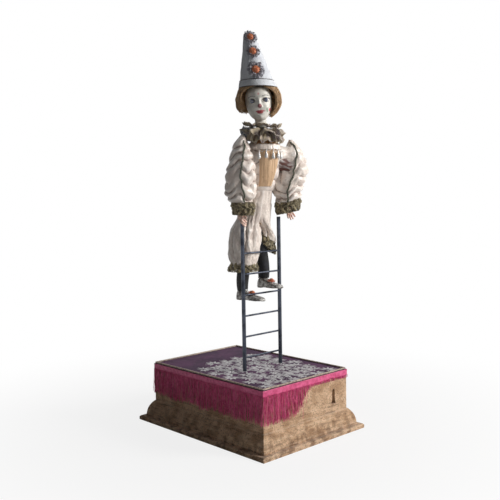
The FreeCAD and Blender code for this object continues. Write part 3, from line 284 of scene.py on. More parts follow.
@dataclass(frozen=True)
class Gauze:
    """Close gathered gauze, taupe where lit and grey violet where painted in shade, with painted shade in its
    folds and a painted highlight on its ridges.
    """

    light: Colour = (204, 188, 158)
    shade: Colour = (146, 134, 138)
    # Rib colour, also the painted shade in the fold valleys.
    deep: Colour = (84, 66, 52)
    # Painted highlight on the fold ridges.
    worn: Colour = (226, 214, 190)

    def make(self) -> Material:
        """Soft cloth with fine ribs from seam to rim."""
        s = Shader("taupe_gauze")
        at = s.place()
        wide = s.noise(at, 70, 3)
        ribs = (s.parts(s.uv())[0] * 900.0).wave() * 0.5 + s.noise(at, 700, 2)
        # Painted light and shade: broad patches of the lit taupe and the shaded grey violet.
        base = s.mix(wide.step(0.40, 0.62), self.light, self.shade)
        base = s.mix(ribs.step(0.2, 1.0) * 0.35, base, self.deep)
        # Painted shade in the fold valleys and a painted highlight on the ridges.
        base = s.folds(base, (self.deep, 0.0, 0.9, 0.8), (self.worn, 0.2, 1.0, 0.5))
        return s.done(Base_Color=base, Roughness=0.7, Normal=s.bump(ribs, 0.25), Sheen_Weight=0.2)


@dataclass(frozen=True)
class Metal:
    """Plain metal with dull patches."""

    name: str
    colour: Colour
    tarnish: Colour
    rough: float = 0.42
    metallic: float = 1.0

    def make(self) -> Material:
        """Metal whose tarnish gathers in patches."""
        s = Shader(self.name)
        at = s.place()
        patches = s.noise(at, 70, 4).step(0.42, 0.66)
        fine = s.noise(at, 900, 2)
        base = s.mix(patches * 0.7, self.colour, self.tarnish)
        rough = patches * 0.22 + fine * 0.12 + (self.rough - 0.08)
        return s.done(Base_Color=base, Roughness=rough, Metallic=self.metallic,
                      Normal=s.bump(fine + patches * 0.5, 0.05))


@dataclass(frozen=True)
class Wood:
    """Plain sawn wood."""

    name: str
    light: Colour
    dark: Colour

    def make(self) -> Material:
        """Straight grain along Y."""
        s = Shader(self.name)
        at = s.place()
        stretched = s.node("ShaderNodeMapping", None, {"Vector": at, "Scale": (1.0, 0.08, 1.0)})
        grain = s.noise(stretched, 260, 5, 0.6)
        base = s.mix(grain.step(0.35, 0.68), self.light, self.dark)
        return s.done(Base_Color=base, Roughness=0.7, Normal=s.bump(grain, 0.15))


@dataclass(frozen=True)
class Satin:
    """Aged silk satin with a fine weave, soiled and stained in patches, with painted shade in its folds and a
    painted highlight on its ridges.
    """

    name: str
    light: Colour
    soil: Colour
    # Stain colour, also used for the painted shade in the fold valleys.
    stain: Colour
    rough: float = 0.42
    # Painted highlight colour for the fold ridges.
    sheen: Colour = (252, 249, 246)

    def make(self) -> Material:
        """Lustrous cloth with fine creases."""
        s = Shader(self.name)
        at = s.place()
        wide = s.noise(at, 55, 4)
        patches = s.noise(at, 140, 3)
        crease = s.noise(at, 330, 4, 0.6)
        base = s.mix(wide.step(0.42, 0.68) * 0.45, self.light, self.soil)
        base = s.mix(patches.step(0.60, 0.72) * 0.35, base, self.stain)
        # Painted shade in the stain colour in the fold valleys, painted highlight in the sheen colour on the
        # ridges.
        base = s.folds(base, (self.stain, 0.05, 1.0, 0.85), (self.sheen, 0.1, 0.9, 0.5))
        drawn = s.node("ShaderNodeMapping", None, {"Vector": at, "Scale": (1.0, 1.0, 0.25)})
        weave = s.noise(drawn, 5200, 1)
        height = crease * 0.7 + weave * 0.06 + patches * 1.3
        rough = crease * 0.16 + (self.rough - 0.16)
        return s.done(Base_Color=base, Roughness=rough, Normal=s.bump(height, 0.5), Sheen_Weight=0.1,
                      Sheen_Roughness=0.35, Specular_IOR_Level=0.6)


@dataclass(frozen=True)
class Thread:
    """Spun or twisted thread, for braid, fringe, hair and embroidery."""

    name: str
    light: Colour
    dark: Colour
    rough: float = 0.55
    spread: float = 0.5
    patch: float = 240.0
    sheen: float = 0.3

    def make(self) -> Material:
        """Thread whose colour varies from strand to strand."""
        s = Shader(self.name)
        at = s.place()
        patches = s.noise(at, self.patch, 3)
        fine = s.noise(at, 3200, 2)
        share = (patches - 0.5) * (2.2 * self.spread) + 0.5 + (fine - 0.5) * 0.5
        base = s.mix(share.step(0.1, 0.9), self.light, self.dark)
        return s.done(Base_Color=base, Roughness=self.rough, Normal=s.bump(fine, 0.12),
                      Sheen_Weight=self.sheen, Sheen_Roughness=0.4, Specular_IOR_Level=0.35)


@dataclass(frozen=True)
class Lace:
    """Openwork lace on its own UV map: a net with denser motifs."""

    name: str
    light: Colour
    dark: Colour
    metallic: float = 0.0
    # Painted shade colour for the fold valleys.
    deep: Colour = (40, 34, 26)
    mesh: tuple[float, float, float] = (150.0, 20.0, 1.0)

    def make(self) -> Material:
        """Net of threads with eyelets."""
        s = Shader(self.name)
        scaled = s.node("ShaderNodeMapping", None, {"Vector": s.uv(), "Scale": self.mesh})
        at = s.place()
        net = s.cells(scaled, 0.55, "DISTANCE_TO_EDGE")
        motif = s.noise(scaled, 0.16, 2)
        thick = motif.step(0.42, 0.60) * 0.5 + 0.13
        alpha = (thick - net).step(-0.05, 0.05)
        tone = s.noise(at, 260, 4)
        base = s.mix(tone.step(0.38, 0.62), self.light, self.dark)
        base = s.mix(net.step(0.30, 0.0) * 0.35, base, self.dark)
        # Painted shade in the fold valleys, painted highlight in the light colour on the ridges.
        base = s.folds(base, (self.deep, 0.0, 0.9, 0.75), (self.light, 0.1, 0.9, 0.45))
        return s.done(Base_Color=base, Roughness=0.6, Metallic=self.metallic, Alpha=alpha,
                      Normal=s.bump(net.step(0.35, 0.0) + tone, 0.4), Sheen_Weight=0.2)


@dataclass(frozen=True)
class DeckSilk:
    """Plain woven purple silk."""

    light: Colour = (88, 50, 84)
    dark: Colour = (60, 34, 62)
    faded: Colour = (112, 80, 104)

    def make(self) -> Material:
        """Faded silk with a fine rib."""
        s = Shader("purple_silk")
        at = s.place()
        x, y, _ = s.parts(at)
        fade = s.noise(at, 22, 4)
        rib = (y * 2600.0).wave() * 0.5 + (x * 1700.0).wave() * 0.25
        base = s.mix(fade.step(0.36, 0.66), self.dark, self.light)
        base = s.mix(s.noise(at, 130, 3).step(0.56, 0.70) * 0.35, base, self.faded)
        return s.done(Base_Color=base, Roughness=0.8, Normal=s.bump(rib * 0.3 + fade, 0.2), Sheen_Weight=0.03,
                      Specular_IOR_Level=0.15)


@dataclass(frozen=True)
class Stocking:
    """Fine black knit."""

    def make(self) -> Material:
        """Knit rows over the leg."""
        s = Shader("black_stocking")
        at = s.place()
        x, y, z = s.parts(at)
        rows = (z * 4200.0).wave() * 0.5 + ((x + y) * 3000.0).wave() * 0.4
        fade = s.noise(at, 120, 3)
        base = s.mix(fade.step(0.42, 0.66), (9, 10, 14), (24, 25, 33))
        return s.done(Base_Color=base, Roughness=0.8, Normal=s.bump(rows + fade, 0.12), Sheen_Weight=0.15)


@dataclass(frozen=True)
class Plush:
    """White plush over a card cone."""

    def make(self) -> Material:
        """Short white nap, greyed in patches."""
        s = Shader("hat_plush")
        at = s.place()
        wide = s.noise(at, 60, 4)
        nap = s.noise(at, 1500, 3, 0.7)
        base = s.mix(wide.step(0.45, 0.70) * 0.5, (230, 234, 240), (202, 206, 216))
        base = s.mix(s.noise(at, 300, 3).step(0.60, 0.70) * 0.3, base, (158, 150, 146))
        return s.done(Base_Color=base, Roughness=0.85, Normal=s.bump(nap + wide * 0.6, 0.35),
                      Sheen_Weight=0.35)


@dataclass(frozen=True)
class Gloss:
    """Clear glossy paste or painted bead."""

    name: str
    colour: Colour
    deep: Colour

    def make(self) -> Material:
        """Gloss with slightly cloudy colour."""
        s = Shader(self.name)
        cloud = s.noise(s.place(), 500, 3)
        base = s.mix(cloud.step(0.40, 0.62), self.colour, self.deep)
        return s.done(Base_Color=base, Roughness=cloud * 0.12 + 0.12, Coat_Weight=0.6, Coat_Roughness=0.06)


@dataclass(frozen=True)
class Leather:
    """Silvered leather, rubbed dark in its creases."""

    light: Colour = (198, 196, 192)
    dark: Colour = (116, 110, 106)

    def make(self) -> Material:
        """Cracked silver surface."""
        s = Shader("silvered_leather")
        at = s.place()
        crack = s.cells(at, 520, "DISTANCE_TO_EDGE")
        wide = s.noise(at, 180, 4)
        base = s.mix(wide.step(0.42, 0.62), self.light, self.dark)
        base = s.mix(crack.step(0.10, 0.0) * 0.6, base, self.dark)
        return s.done(Base_Color=base, Roughness=wide * 0.25 + 0.3, Metallic=wide.step(0.62, 0.42) * 0.35,
                      Normal=s.bump(crack.step(0.0, 0.12) + wide, 0.25))


def head_frame() -> Matrix:
    """The head's own frame in the part's frame, in metres: +Z up its axis, -Y its face."""
    turn = spun(HEAD_TURN, "Z")
    lean = Matrix.Rotation(math.radians(HEAD_LEAN), 4, turn @ Vector((0, 1, 0)))
    return Matrix.Translation(Vector(HEAD_AT) * MM) @ lean @ turn


def face_frame() -> Matrix:
    """Frame of the face and wig, a little more upright than the neck, in metres."""
    middle = Matrix.Translation((0, 0, 45 * MM))
    return head_frame() @ middle @ spun(4.5, "Y") @ middle.inverted()


@dataclass(frozen=True)
class PaintedBisque:
    """Matt bisque with the clown's painted marks, in the face's own frame."""

    def make(self) -> Material:
        """White face, red lips and spots, a green mark, thin brows and lash lines."""
        s = Shader("painted_bisque")
        own = s.moved(face_frame())
        x, y, z = s.parts(own)
        x, y, z = x * 1000, y * 1000, z * 1000
        front = y.step(-12.0, -15.0)

        def spot(cx: float, cz: float, wide: float, tall: float, soft: float = 0.35) -> Socket:
            """Soft oval of paint."""
            across, up = (x - cx) / wide, (z - cz) / tall
            return (across * across + up * up).step(1 + soft, 1 - soft) * front

        cloud = s.noise(own, 90, 4)
        stain = s.noise(own, 420, 3)
        base = s.mix(cloud.step(0.42, 0.62) * 0.6, (233, 229, 221), (205, 204, 195))
        base = s.mix(stain.step(0.60, 0.70) * 0.35, base, (158, 146, 130))
        marks = (((0, 51.2, 1.7, 2.0, 0.6), 0.55, (204, 110, 110)),
                 ((0.3, 31.2, 3.5, 3.3, 0.5), 0.92, (120, 24, 42)),
                 ((17.6, 24.4, 3.2, 3.2, 0.4), 0.85, (214, 66, 88)),
                 ((11.8, 24.6, 1.5, 3.6, 0.6), 0.7, (70, 128, 96)))
        for oval, share, paint in marks:
            base = s.mix(spot(*oval) * share, base, paint)
        upper = spot(-2.3, 23.4, 4.6, 1.5).most(spot(2.3, 23.4, 4.6, 1.5))
        lips = upper.most(spot(0, 21.4, 5.2, 2.0)).most(spot(6.2, 23.0, 2.8, 0.6, 0.8))
        base = s.mix(lips * 0.95, base, (150, 22, 38))
        base = s.mix(spot(0, 22.5, 5.6, 0.35, 0.8) * 0.8, base, (70, 8, 14))
        side = x.size() - EYE_SIDE

        def arc(level: float, bow: float, thick: float, soft: float, long: float, ends: Point) -> Socket:
            """Soft painted line that bows above or below each eye."""
            away = (z - level + side * side * bow).size() / thick
            return away.step(soft, 0.6) * (side.size() / long).step(*ends) * front

        base = s.mix(arc(48.0, 0.045, 0.8, 1.3, 6.4, (1.15, 0.8)) * 0.7, base, (64, 58, 50))
        upper_lash = arc(44.0, 0.10, 0.7, 1.3, 5.7, (1.1, 0.85))
        lower_lash = arc(37.1, -0.09, 0.35, 1.4, 4.8, (1.1, 0.85))
        base = s.mix(upper_lash.most(lower_lash * 0.6) * 0.9, base, (30, 26, 30))
        base = s.mix(spot(16.6, 42.6, 1.9, 1.3, 0.6) * 0.9, base, (28, 28, 36))
        across, up = side / 5.6, (z - 40.5) / 3.3
        rim = (across * across + up * up).step(1.0, 0.8) * front
        base = s.mix(rim, base, (46, 30, 28))
        return s.done(Base_Color=base, Roughness=cloud * 0.15 + 0.36, Normal=s.bump(stain, 0.06),
                      Specular_IOR_Level=0.45)


@dataclass(frozen=True)
class PlainBisque:
    """Pink tinted bisque of the hands."""

    def make(self) -> Material:
        """Pale pink, redder in patches."""
        s = Shader("hand_bisque")
        at = s.place()
        cloud = s.noise(at, 260, 4)
        base = s.mix(cloud.step(0.42, 0.66), (236, 205, 190), (206, 150, 132))
        return s.done(Base_Color=base, Roughness=0.42, Normal=s.bump(cloud, 0.08))


@dataclass(frozen=True)
class GlassEye:
    """Glass eye: white, dark blue iris and black pupil, in the face's own frame."""

    def make(self) -> Material:
        """Iris with fine spokes under a clear coat."""
        s = Shader("glass_eye")
        own = s.moved(face_frame())
        x, _, z = s.parts(own)
        across, up = (x.size() - EYE_SIDE * MM) * 1000, (z - EYE_HEIGHT * MM) * 1000
        away = (across * across + up * up) ** 0.5
        spokes = s.noise(own, 2200, 2)
        iris = s.mix(spokes, (24, 34, 84), (66, 92, 150))
        iris = s.mix(away.step(2.3, 3.1), iris, (12, 14, 34))
        base = s.mix(away.step(3.4, 3.1), (222, 218, 214), iris)
        base = s.mix(away.step(1.5, 1.3), base, (4, 4, 6))
        return s.done(Base_Color=base, Roughness=0.08, Coat_Weight=1.0, Coat_Roughness=0.03)


class Bench:
    """Mesh tools: operators as by hand, and smooth surfaces placed point by point."""

    @staticmethod
    def clear() -> None:
        """Leave nothing selected."""
        bpy.ops.object.select_all(action="DESELECT")

    @staticmethod
    def only(piece: Piece) -> Piece:
        """Make the piece the one selected and active."""
        Bench.clear()
        piece.select_set(True)
        bpy.context.view_layer.objects.active = piece
        return piece

    @staticmethod
    def points(piece: Piece) -> Array:
        """The mesh's points, in metres."""
        co = np.empty(len(piece.data.vertices) * 3)
        piece.data.vertices.foreach_get("co", co)
        return co.reshape(-1, 3)

    @staticmethod
    def move(piece: Piece, co: Array) -> Piece:
        """Put the mesh's points at co, in metres."""
        piece.data.vertices.foreach_set("co", np.asarray(co, float).ravel())
        piece.data.update()
        return piece

    @staticmethod
    def added(name: str) -> Piece:
        """Name the primitive just added and put its place in its mesh."""
        piece = bpy.context.active_object
        piece.name = piece.data.name = name
        piece.data.transform(piece.matrix_basis)
        piece.matrix_basis = Matrix.Identity(4)
        return Bench.only(piece)

    @staticmethod
    def sheet(name: str, across: int, along: int, place: Placer, closed: bool = False) -> Piece:
        """Grid whose points go where place puts them.

        Args:
            name: the piece's name.
            across: divisions in u.
            along: divisions in v.
            place: from u and v, each 0 to 1, to points in millimetres.
            closed: whether the two u edges meet.

        Returns:
            The piece, with a UV map of u and v.
        """
        Bench.clear()
        bpy.ops.mesh.primitive_grid_add(x_subdivisions=across, y_subdivisions=along, size=1, calc_uvs=True)
        piece = Bench.added(name)
        co = Bench.points(piece)
        Bench.move(piece, np.asarray(place(co[:, 0] + 0.5, co[:, 1] + 0.5)) * MM)
        if closed:
            Bench.edit(piece, lambda: bpy.ops.mesh.remove_doubles(threshold=1e-6))
        Bench.outward(piece)
        return Bench.smooth(piece)

    @staticmethod
    def edit(piece: Piece, work: Callable[[], object]) -> Piece:
        """Run mesh operators on the whole of a piece."""
        Bench.only(piece)
        bpy.ops.object.mode_set(mode="EDIT")
        bpy.ops.mesh.select_all(action="SELECT")
        work()
        bpy.ops.object.mode_set(mode="OBJECT")
        return piece

    @staticmethod
    def outward(piece: Piece) -> Piece:
        """Turn all faces outwards, also those of an open tube."""
        Bench.edit(piece, lambda: bpy.ops.mesh.normals_make_consistent(inside=False))
        middle = Vector(Bench.points(piece).mean(0))
        facing_out = sum(face.area * face.normal.dot(face.center - middle) for face in piece.data.polygons)
        if facing_out < 0:
            Bench.edit(piece, bpy.ops.mesh.flip_normals)
        return piece

    @staticmethod
    def hollows(piece: Piece, reach: int = 14, depth: float = 1.1) -> Piece:
        """Keep on the mesh how far each point lies in a fold: above 0 in valleys, below 0 on ridges."""
        mesh = piece.data
        ends = np.zeros(len(mesh.edges) * 2, int)
        mesh.edges.foreach_get("vertices", ends)
        a, b = ends[::2], ends[1::2]
        count = np.maximum(np.bincount(ends, minlength=len(mesh.vertices)), 1)[:, None]
        normals = np.zeros(len(mesh.vertices) * 3)
        mesh.vertices.foreach_get("normal", normals)
        start = Bench.points(piece)
        soft = start.copy()
        for _ in range(reach):
            total = np.zeros_like(soft)
            for k in range(3):
                total[:, k] = np.bincount(a, soft[b, k], len(soft)) + np.bincount(b, soft[a, k], len(soft))
            soft = total / count
        inside = ((soft - start) * normals.reshape(-1, 3)).sum(1) / MM / depth
        layer = mesh.attributes.new("hollow", "FLOAT", "POINT")
        layer.data.foreach_set("value", np.clip(inside, -1, 1).astype(np.float32))
        return piece

    @staticmethod
    def smooth(piece: Piece, degrees: float = 0) -> Piece:
        """Smooth shading, up to an angle where one is given."""
        Bench.only(piece)
        if degrees:
            bpy.ops.object.shade_smooth_by_angle(angle=math.radians(degrees))
        else:
            bpy.ops.object.shade_smooth()
        return piece

    @staticmethod
    def apply(piece: Piece, kind: str, **settings: object) -> Piece:
        """Add a modifier, set it and apply it."""
        Bench.only(piece)
        modifier = piece.modifiers.new(kind.lower(), kind)
        for key, value in settings.items():
            setattr(modifier, key, value)
        bpy.ops.object.modifier_apply(modifier=modifier.name)
        return piece

    @staticmethod
    def thick(piece: Piece, wall: float) -> Piece:
        """Give a surface a wall, in millimetres, inwards."""
        return Bench.apply(piece, "SOLIDIFY", thickness=wall * MM, offset=-1.0)

    @staticmethod
    def round(piece: Piece) -> Piece:
        """Subdivide smoothly, once."""
        return Bench.apply(piece, "SUBSURF", levels=1, render_levels=1)

    @staticmethod
    def lathe(name: str, profile: Sequence[tuple[float, float]], count: int = 48,
              foot: bool = True, top: bool = True) -> Piece:
        """Turned form about Z: a circle extruded and scaled ring by ring.

        Args:
            name: the piece's name.
            profile: radius and height of each ring, in millimetres.
            count: points round each ring.
            foot: whether the first ring is closed.
            top: whether the last ring is closed.

        Returns:
            The piece.
        """
        Bench.clear()
        radius, height = profile[0]
        bpy.ops.mesh.primitive_circle_add(vertices=count, radius=radius * MM, location=(0, 0, height * MM))
        piece = Bench.added(name)

        def rings() -> None:
            """Extrude each further ring, then close the ends."""
            if foot:
                bpy.ops.mesh.edge_face_add()
                bpy.ops.mesh.select_mode(type="EDGE")
                bpy.ops.mesh.region_to_loop()
            r0, z0 = radius, height
            for r, z in profile[1:]:
                bpy.ops.mesh.extrude_edges_move(TRANSFORM_OT_translate={"value": (0, 0, (z - z0) * MM)})
                share = r / r0
                bpy.ops.transform.resize(value=(share, share, 1), center_override=(0, 0, z * MM))
                r0, z0 = r, z
            if top:
                bpy.ops.mesh.edge_face_add()

        Bench.edit(piece, rings)
        return Bench.smooth(Bench.outward(piece), 50)

    @staticmethod
    def ball(name: str, centre: Point, radii: Point, segments: int = 16, rings: int = 10) -> Piece:
        """Egg form, to be shaped further or joined."""
        Bench.clear()
        bpy.ops.mesh.primitive_uv_sphere_add(segments=segments, ring_count=rings, radius=1)
        piece = Bench.added(name)
        Bench.move(piece, (Bench.points(piece) * np.array(radii) + np.array(centre)) * MM)
        return Bench.smooth(piece)

    @staticmethod
    def strands(name: str, lines: Sequence[Array], radius: float, taper: float = 1.0,
                sides: int = 0) -> Piece:
        """Thin round strands along lines of points, all one piece.

        Args:
            name: the piece's name.
            lines: each strand's points, in millimetres.
            radius: in millimetres.
            taper: radius at the end of each, as a share.
            sides: bevel resolution.

        Returns:
            The piece as a mesh.
        """
        curve = bpy.data.curves.new(name, "CURVE")
        curve.dimensions, curve.bevel_depth, curve.bevel_resolution = "3D", radius * MM, sides
        curve.use_fill_caps = True
        for line in lines:
            spline = curve.splines.new("POLY")
            spline.points.add(len(line) - 1)
            spline.points.foreach_set("co", np.c_[line * MM, np.ones(len(line))].ravel())
            spline.points.foreach_set("radius", np.linspace(1, taper, len(line)))
        piece = bpy.data.objects.new(name, curve)
        bpy.context.scene.collection.objects.link(piece)
        Bench.only(piece)
        bpy.ops.object.convert(target="MESH")
        piece = bpy.context.active_object
        piece.data.name = name
        return Bench.smooth(piece)

    @staticmethod
    def join(name: str, pieces: Sequence[Piece]) -> Piece:
        """Join several pieces into one."""
        Bench.clear()
        for piece in pieces:
            piece.select_set(True)
        bpy.context.view_layer.objects.active = pieces[0]
        bpy.ops.object.join()
        pieces[0].name = pieces[0].data.name = name
        return pieces[0]

    @staticmethod
    def copies(name: str, model: Piece, places: Sequence[Matrix]) -> Piece:
        """Copies of a model, each with its own mesh, joined into one piece."""
        made = []
        for place in places:
            copy = bpy.data.objects.new(name, model.data.copy())
            copy.data.transform(place)
            bpy.context.scene.collection.objects.link(copy)
            made.append(copy)
        bpy.data.objects.remove(model)
        return Bench.join(name, made)

    @staticmethod
    def placed(piece: Piece, at: Matrix) -> Piece:
        """Move a piece's mesh by a matrix in metres."""
        piece.data.transform(at)
        return piece

    @staticmethod
    def crumple(piece: Piece, hold: Array, growth: float, swell: float, cap: float,
                frames: int = 12, scale: float = 10.0) -> Piece:
        """Cloth simulation: the cloth is cut larger than its form, so that it buckles into creases.

        Args:
            piece: the cloth, before its wall.
            hold: how firmly each point is held, 0 to 1.
            growth: how much larger the cut is.
            swell: pressure from inside.
            cap: how far a point may move, in millimetres.
            frames: steps of the simulation.
            scale: how much larger than life the cloth is while it is simulated.

        Returns:
            The piece, with the result applied.
        """
        rest = Bench.points(piece)
        centre = rest.mean(0)
        Bench.move(piece, (rest - centre) * scale)
        group = piece.vertex_groups.new(name="held")
        for index, weight in enumerate(hold):
            group.add([index], float(weight), "REPLACE")
        Bench.only(piece)
        modifier = piece.modifiers.new("cloth", "CLOTH")
        cloth = modifier.settings
        cloth.quality = 4
        cloth.mass = 0.15
        cloth.tension_stiffness = cloth.compression_stiffness = 12
        cloth.shear_stiffness = 4
        cloth.bending_stiffness = 0.35
        cloth.shrink_min = cloth.shrink_max = -growth
        cloth.vertex_group_mass = "held"
        cloth.use_pressure = swell != 0
        cloth.uniform_pressure_force = swell
        cloth.effector_weights.gravity = 0.25
        modifier.collision_settings.use_collision = False
        modifier.point_cache.frame_start, modifier.point_cache.frame_end = 1, frames
        scene = bpy.context.scene
        for step in range(1, frames + 1):
            scene.frame_set(step)
        bpy.ops.object.modifier_apply(modifier=modifier.name)
        scene.frame_set(1)
        moved = Bench.points(piece) / scale + centre - rest
        far = np.linalg.norm(moved, axis=1, keepdims=True)
        limit = cap * MM
        moved *= np.where(far > limit, limit / np.maximum(far, TINY), 1.0)
        piece.vertex_groups.clear()
        return Bench.move(piece, rest + moved)


def between(values: Sequence[float], at: Array) -> Array:
    """Smooth curve through evenly spaced values, at 0 to 1."""
    v = np.asarray(values, float)
    t = np.clip(at, 0, 1) * (len(v) - 1)
    i = np.clip(t.astype(int), 0, len(v) - 2)
    f = t - i
    p0, p1, p2, p3 = v[np.maximum(i - 1, 0)], v[i], v[i + 1], v[np.minimum(i + 2, len(v) - 1)]
    square, cube = 2 * p0 - 5 * p1 + 4 * p2 - p3, 3 * p1 - p0 - 3 * p2 + p3
    return 0.5 * (2 * p1 + (p2 - p0) * f + square * f**2 + cube * f**3)


def curves(rows: Sequence[Sequence[float]], at: Array, *which: int) -> list[Array]:
    """Smooth curves at 0 to 1 through the chosen numbers of each row, or through all of them."""
    return [between([row[i] for row in rows], at) for i in which or range(len(rows[0]))]


def roughly(where: Array, seed: float, octaves: int) -> Array:
    """Smooth noise about 0 at points, one unit of which is about one bump."""
    shift = Vector((seed * 7.3, seed * 3.1, seed * 5.7))
    return np.array([noise.fractal(Vector(p) + shift, 0.9, 2.0, octaves) for p in where])


def ring(angle: Array, radius: Array | float, z: Array) -> Array:
    """Points round the Z axis."""
    return np.c_[np.cos(angle) * radius, np.sin(angle) * radius, z]


def spun(degrees: float, axis: str) -> Matrix:
    """Turn about an axis."""
    return Matrix.Rotation(math.radians(degrees), 4, axis)


@dataclass(frozen=True)
class Tube:
    """Cloth tube through level ovals, each (x, y, z, half width, half depth) in millimetres.

    Attributes:
        sections: the ovals from low to high.
        turn: turn of their breadth about Z, in degrees.
        pleats: depth of the upright pleats, and pleat_count their number.
        creases: depth of the fine creases, and crease_scale their scale across and up.
        proud: distance outside the ovals.
        seed: which folds.
        puffs: depth of the folds that lie across it, and puff_rise their spacing.
        slant: how far a lower edge falls sideways, and slant_fade how fast that fades upwards.
        limit: x it hardly passes leftwards, and ceiling the same rightwards.
    """

    sections: Sequence[Oval]
    turn: float = 0.0
    pleats: float = 0.0
    pleat_count: int = 9
    creases: float = 1.2
    crease_scale: tuple[float, float] = (0.05, 0.05)
    proud: float = 0.0
    seed: float = 1.0
    puffs: float = 0.0
    puff_rise: float = 17.0
    slant: float = 0.0
    slant_fade: float = 0.0
    limit: float | None = None
    ceiling: float | None = None

    def turned(self, x: Array, y: Array, side: Array, front: Array) -> tuple[Array, Array]:
        """Level point at a sideways and a depthwise offset, along the tube's own breadth and depth."""
        ca, sa = math.cos(math.radians(self.turn)), math.sin(math.radians(self.turn))
        return x + side * ca + front * sa, y - side * sa + front * ca

    def share(self, z: Array) -> Array:
        """Place up the tube, 0 to 1, at a height."""
        heights = [s[2] for s in self.sections]
        return np.interp(z, heights, np.linspace(0, 1, len(heights)))

    def surface(self, side: Array, z: Array, proud: float = 0.0) -> Array:
        """Points on the tube's plain front, at a sideways offset from its centre line.

        Args:
            side: offset along the tube's own breadth, in millimetres.
            z: height.
            proud: distance outside the plain form.

        Returns:
            The points, in millimetres.
        """
        x, y, wide, deep = curves(self.sections, self.share(z), 0, 1, 3, 4)
        across = np.clip(side / (wide + proud), -0.999, 0.999)
        front = -np.sqrt(1 - across**2) * (deep + proud)
        return np.c_[(*self.turned(x, y, side, front), z)]

    def place(self, u: Array, v: Array) -> Array:
        """Point at u round the tube and v up it."""
        x, y, z, wide, deep = curves(self.sections, v)
        angle = u * 2 * math.pi
        held = np.clip(np.minimum(v, 1 - v) * 8, 0, 1) ** 0.7
        pleat = np.abs(np.sin(angle * self.pleat_count / 2 + self.seed + 1.3 * np.sin(v * 5 + self.seed)))
        low, high = self.crease_scale
        ridge = 1 - 2 * np.abs(roughly(ring(angle, wide, z) * (low, low, high), self.seed, 3))
        out = self.proud + self.pleats * (pleat - 0.6) + self.creases * (ridge - 0.55) * held
        if self.puffs:
            out = out + self.puffs * self.puff(angle, z, wide) * held
        side, front = np.cos(angle) * (wide + out), np.sin(angle) * (deep + out)
        z = z - self.slant * np.cos(angle) * wide * (1 - v) ** self.slant_fade
        x, y = self.turned(x, y, side, front)
        if self.limit is not None:
            x = np.maximum(x, self.limit + 0.05 * (x - self.limit))
        if self.ceiling is not None:
            x = np.minimum(x, self.ceiling + 0.12 * (x - self.ceiling))
        return np.c_[x, y, z]

    def puff(self, angle: Array, z: Array, wide: Array) -> Array:
        """Round folds that lie across the tube, part way round, with sharp valleys."""
        where = ring(angle, wide, z)
        warp = roughly(where * (0.030, 0.030, 0.016), self.seed + 11, 2)
        tilt = roughly(where * (0.016, 0.016, 0.012), self.seed + 17, 1)
        phase = z * math.pi / self.puff_rise + warp * 3.4 + tilt * 3.0
        round_top = np.abs(np.sin(phase)) ** 0.62
        patch = roughly(where * (0.045, 0.045, 0.03), self.seed + 23, 1)
        depth = 0.35 + 0.9 * np.clip(0.5 + patch, 0, 1)
        return (round_top - 0.62) * depth * 1.5

    def make(self, name: str, around: int = 96, up: int = 64) -> Piece:
        """The tube as a piece."""
        return Bench.sheet(name, around, up, self.place, closed=True)


@dataclass(frozen=True)
class Breeches(Tube):
    """Trouser half: a round leg that turns into one half of the seat, flat on its inner side.

    Attributes:
        seat: the seat's ovals.
        half: 1 for the half towards +X, -1 for the other.
        blend_low: height where the leg begins to turn into the seat.
        blend_high: height where it is all seat.
    """

    seat: Sequence[Oval] = ()
    half: int = 1
    blend_low: float = 316.0
    blend_high: float = 346.0

    def place(self, u: Array, v: Array) -> Array:
        """Point at u round the half and v up it."""
        x, y, z, wide, deep = curves(self.sections, v)
        heights = [s[2] for s in self.seat]
        seat_x, seat_y, seat_wide, seat_deep = (
            np.interp(z, heights, [s[i] for s in self.seat]) for i in (0, 1, 3, 4))
        b = (u - 0.5) * 2 * math.pi
        arc = np.clip(b, -2 * math.pi / 3, 2 * math.pi / 3) * 0.75
        flat = np.clip((math.pi - np.abs(b)) / (math.pi / 3), 0, 1)
        w = np.clip((z - self.blend_low) / (self.blend_high - self.blend_low), 0, 1)
        w = w * w * (3 - 2 * w)
        inner = 1 - w * (1 - np.clip(np.cos(arc) * 1.6, 0, 1) * (flat >= 1))
        out = self.folds(b, z, wide, deep, w) * inner + self.proud
        leg_side, leg_front = np.cos(b) * (wide + out), np.sin(b) * (deep + out)
        seat_side = np.cos(arc) * (seat_wide + out) * (flat >= 1) - 1.6
        seat_front = np.sin(arc) * (seat_deep + out) * np.where(flat >= 1, 1, flat)
        ca, sa = math.cos(math.radians(self.turn)), math.sin(math.radians(self.turn))
        off_x, off_y = x - seat_x, y - seat_y
        side = (1 - w) * (leg_side * self.half + off_x * ca - off_y * sa) + w * seat_side * self.half
        front = (1 - w) * (leg_front + off_x * sa + off_y * ca) + w * seat_front
        z = z - self.slant * np.cos(b) * self.half * wide * (1 - v) ** self.slant_fade
        return np.c_[(*self.turned(seat_x, seat_y, side, front), z)]

    def folds(self, b: Array, z: Array, wide: Array, deep: Array, w: Array) -> Array:
        """Long hanging folds with small creases, shallower in the seat."""
        round_leg = np.c_[np.cos(b) * wide * 0.06, np.sin(b) * deep * 0.06, z * 0.012]
        warp = roughly(round_leg, self.seed, 2)
        phase = b * self.pleat_count / 2 + self.seed + warp * 1.6 + np.sin(z / 31 + self.seed) * 0.5
        fold = np.abs(np.sin(phase)) ** 0.75 - 0.62
        patch = roughly(ring(b, 1, z * 0.022), self.seed + 4, 2)
        depth = np.clip(0.75 + 1.1 * patch, 0.2, 1.3)
        small = 1 - 2 * np.abs(roughly(np.c_[round_leg[:, :2] * 1.6, z * 0.045], self.seed + 8, 3)) - 0.6
        return self.pleats * fold * depth * (1 - 0.35 * w) + self.creases * small


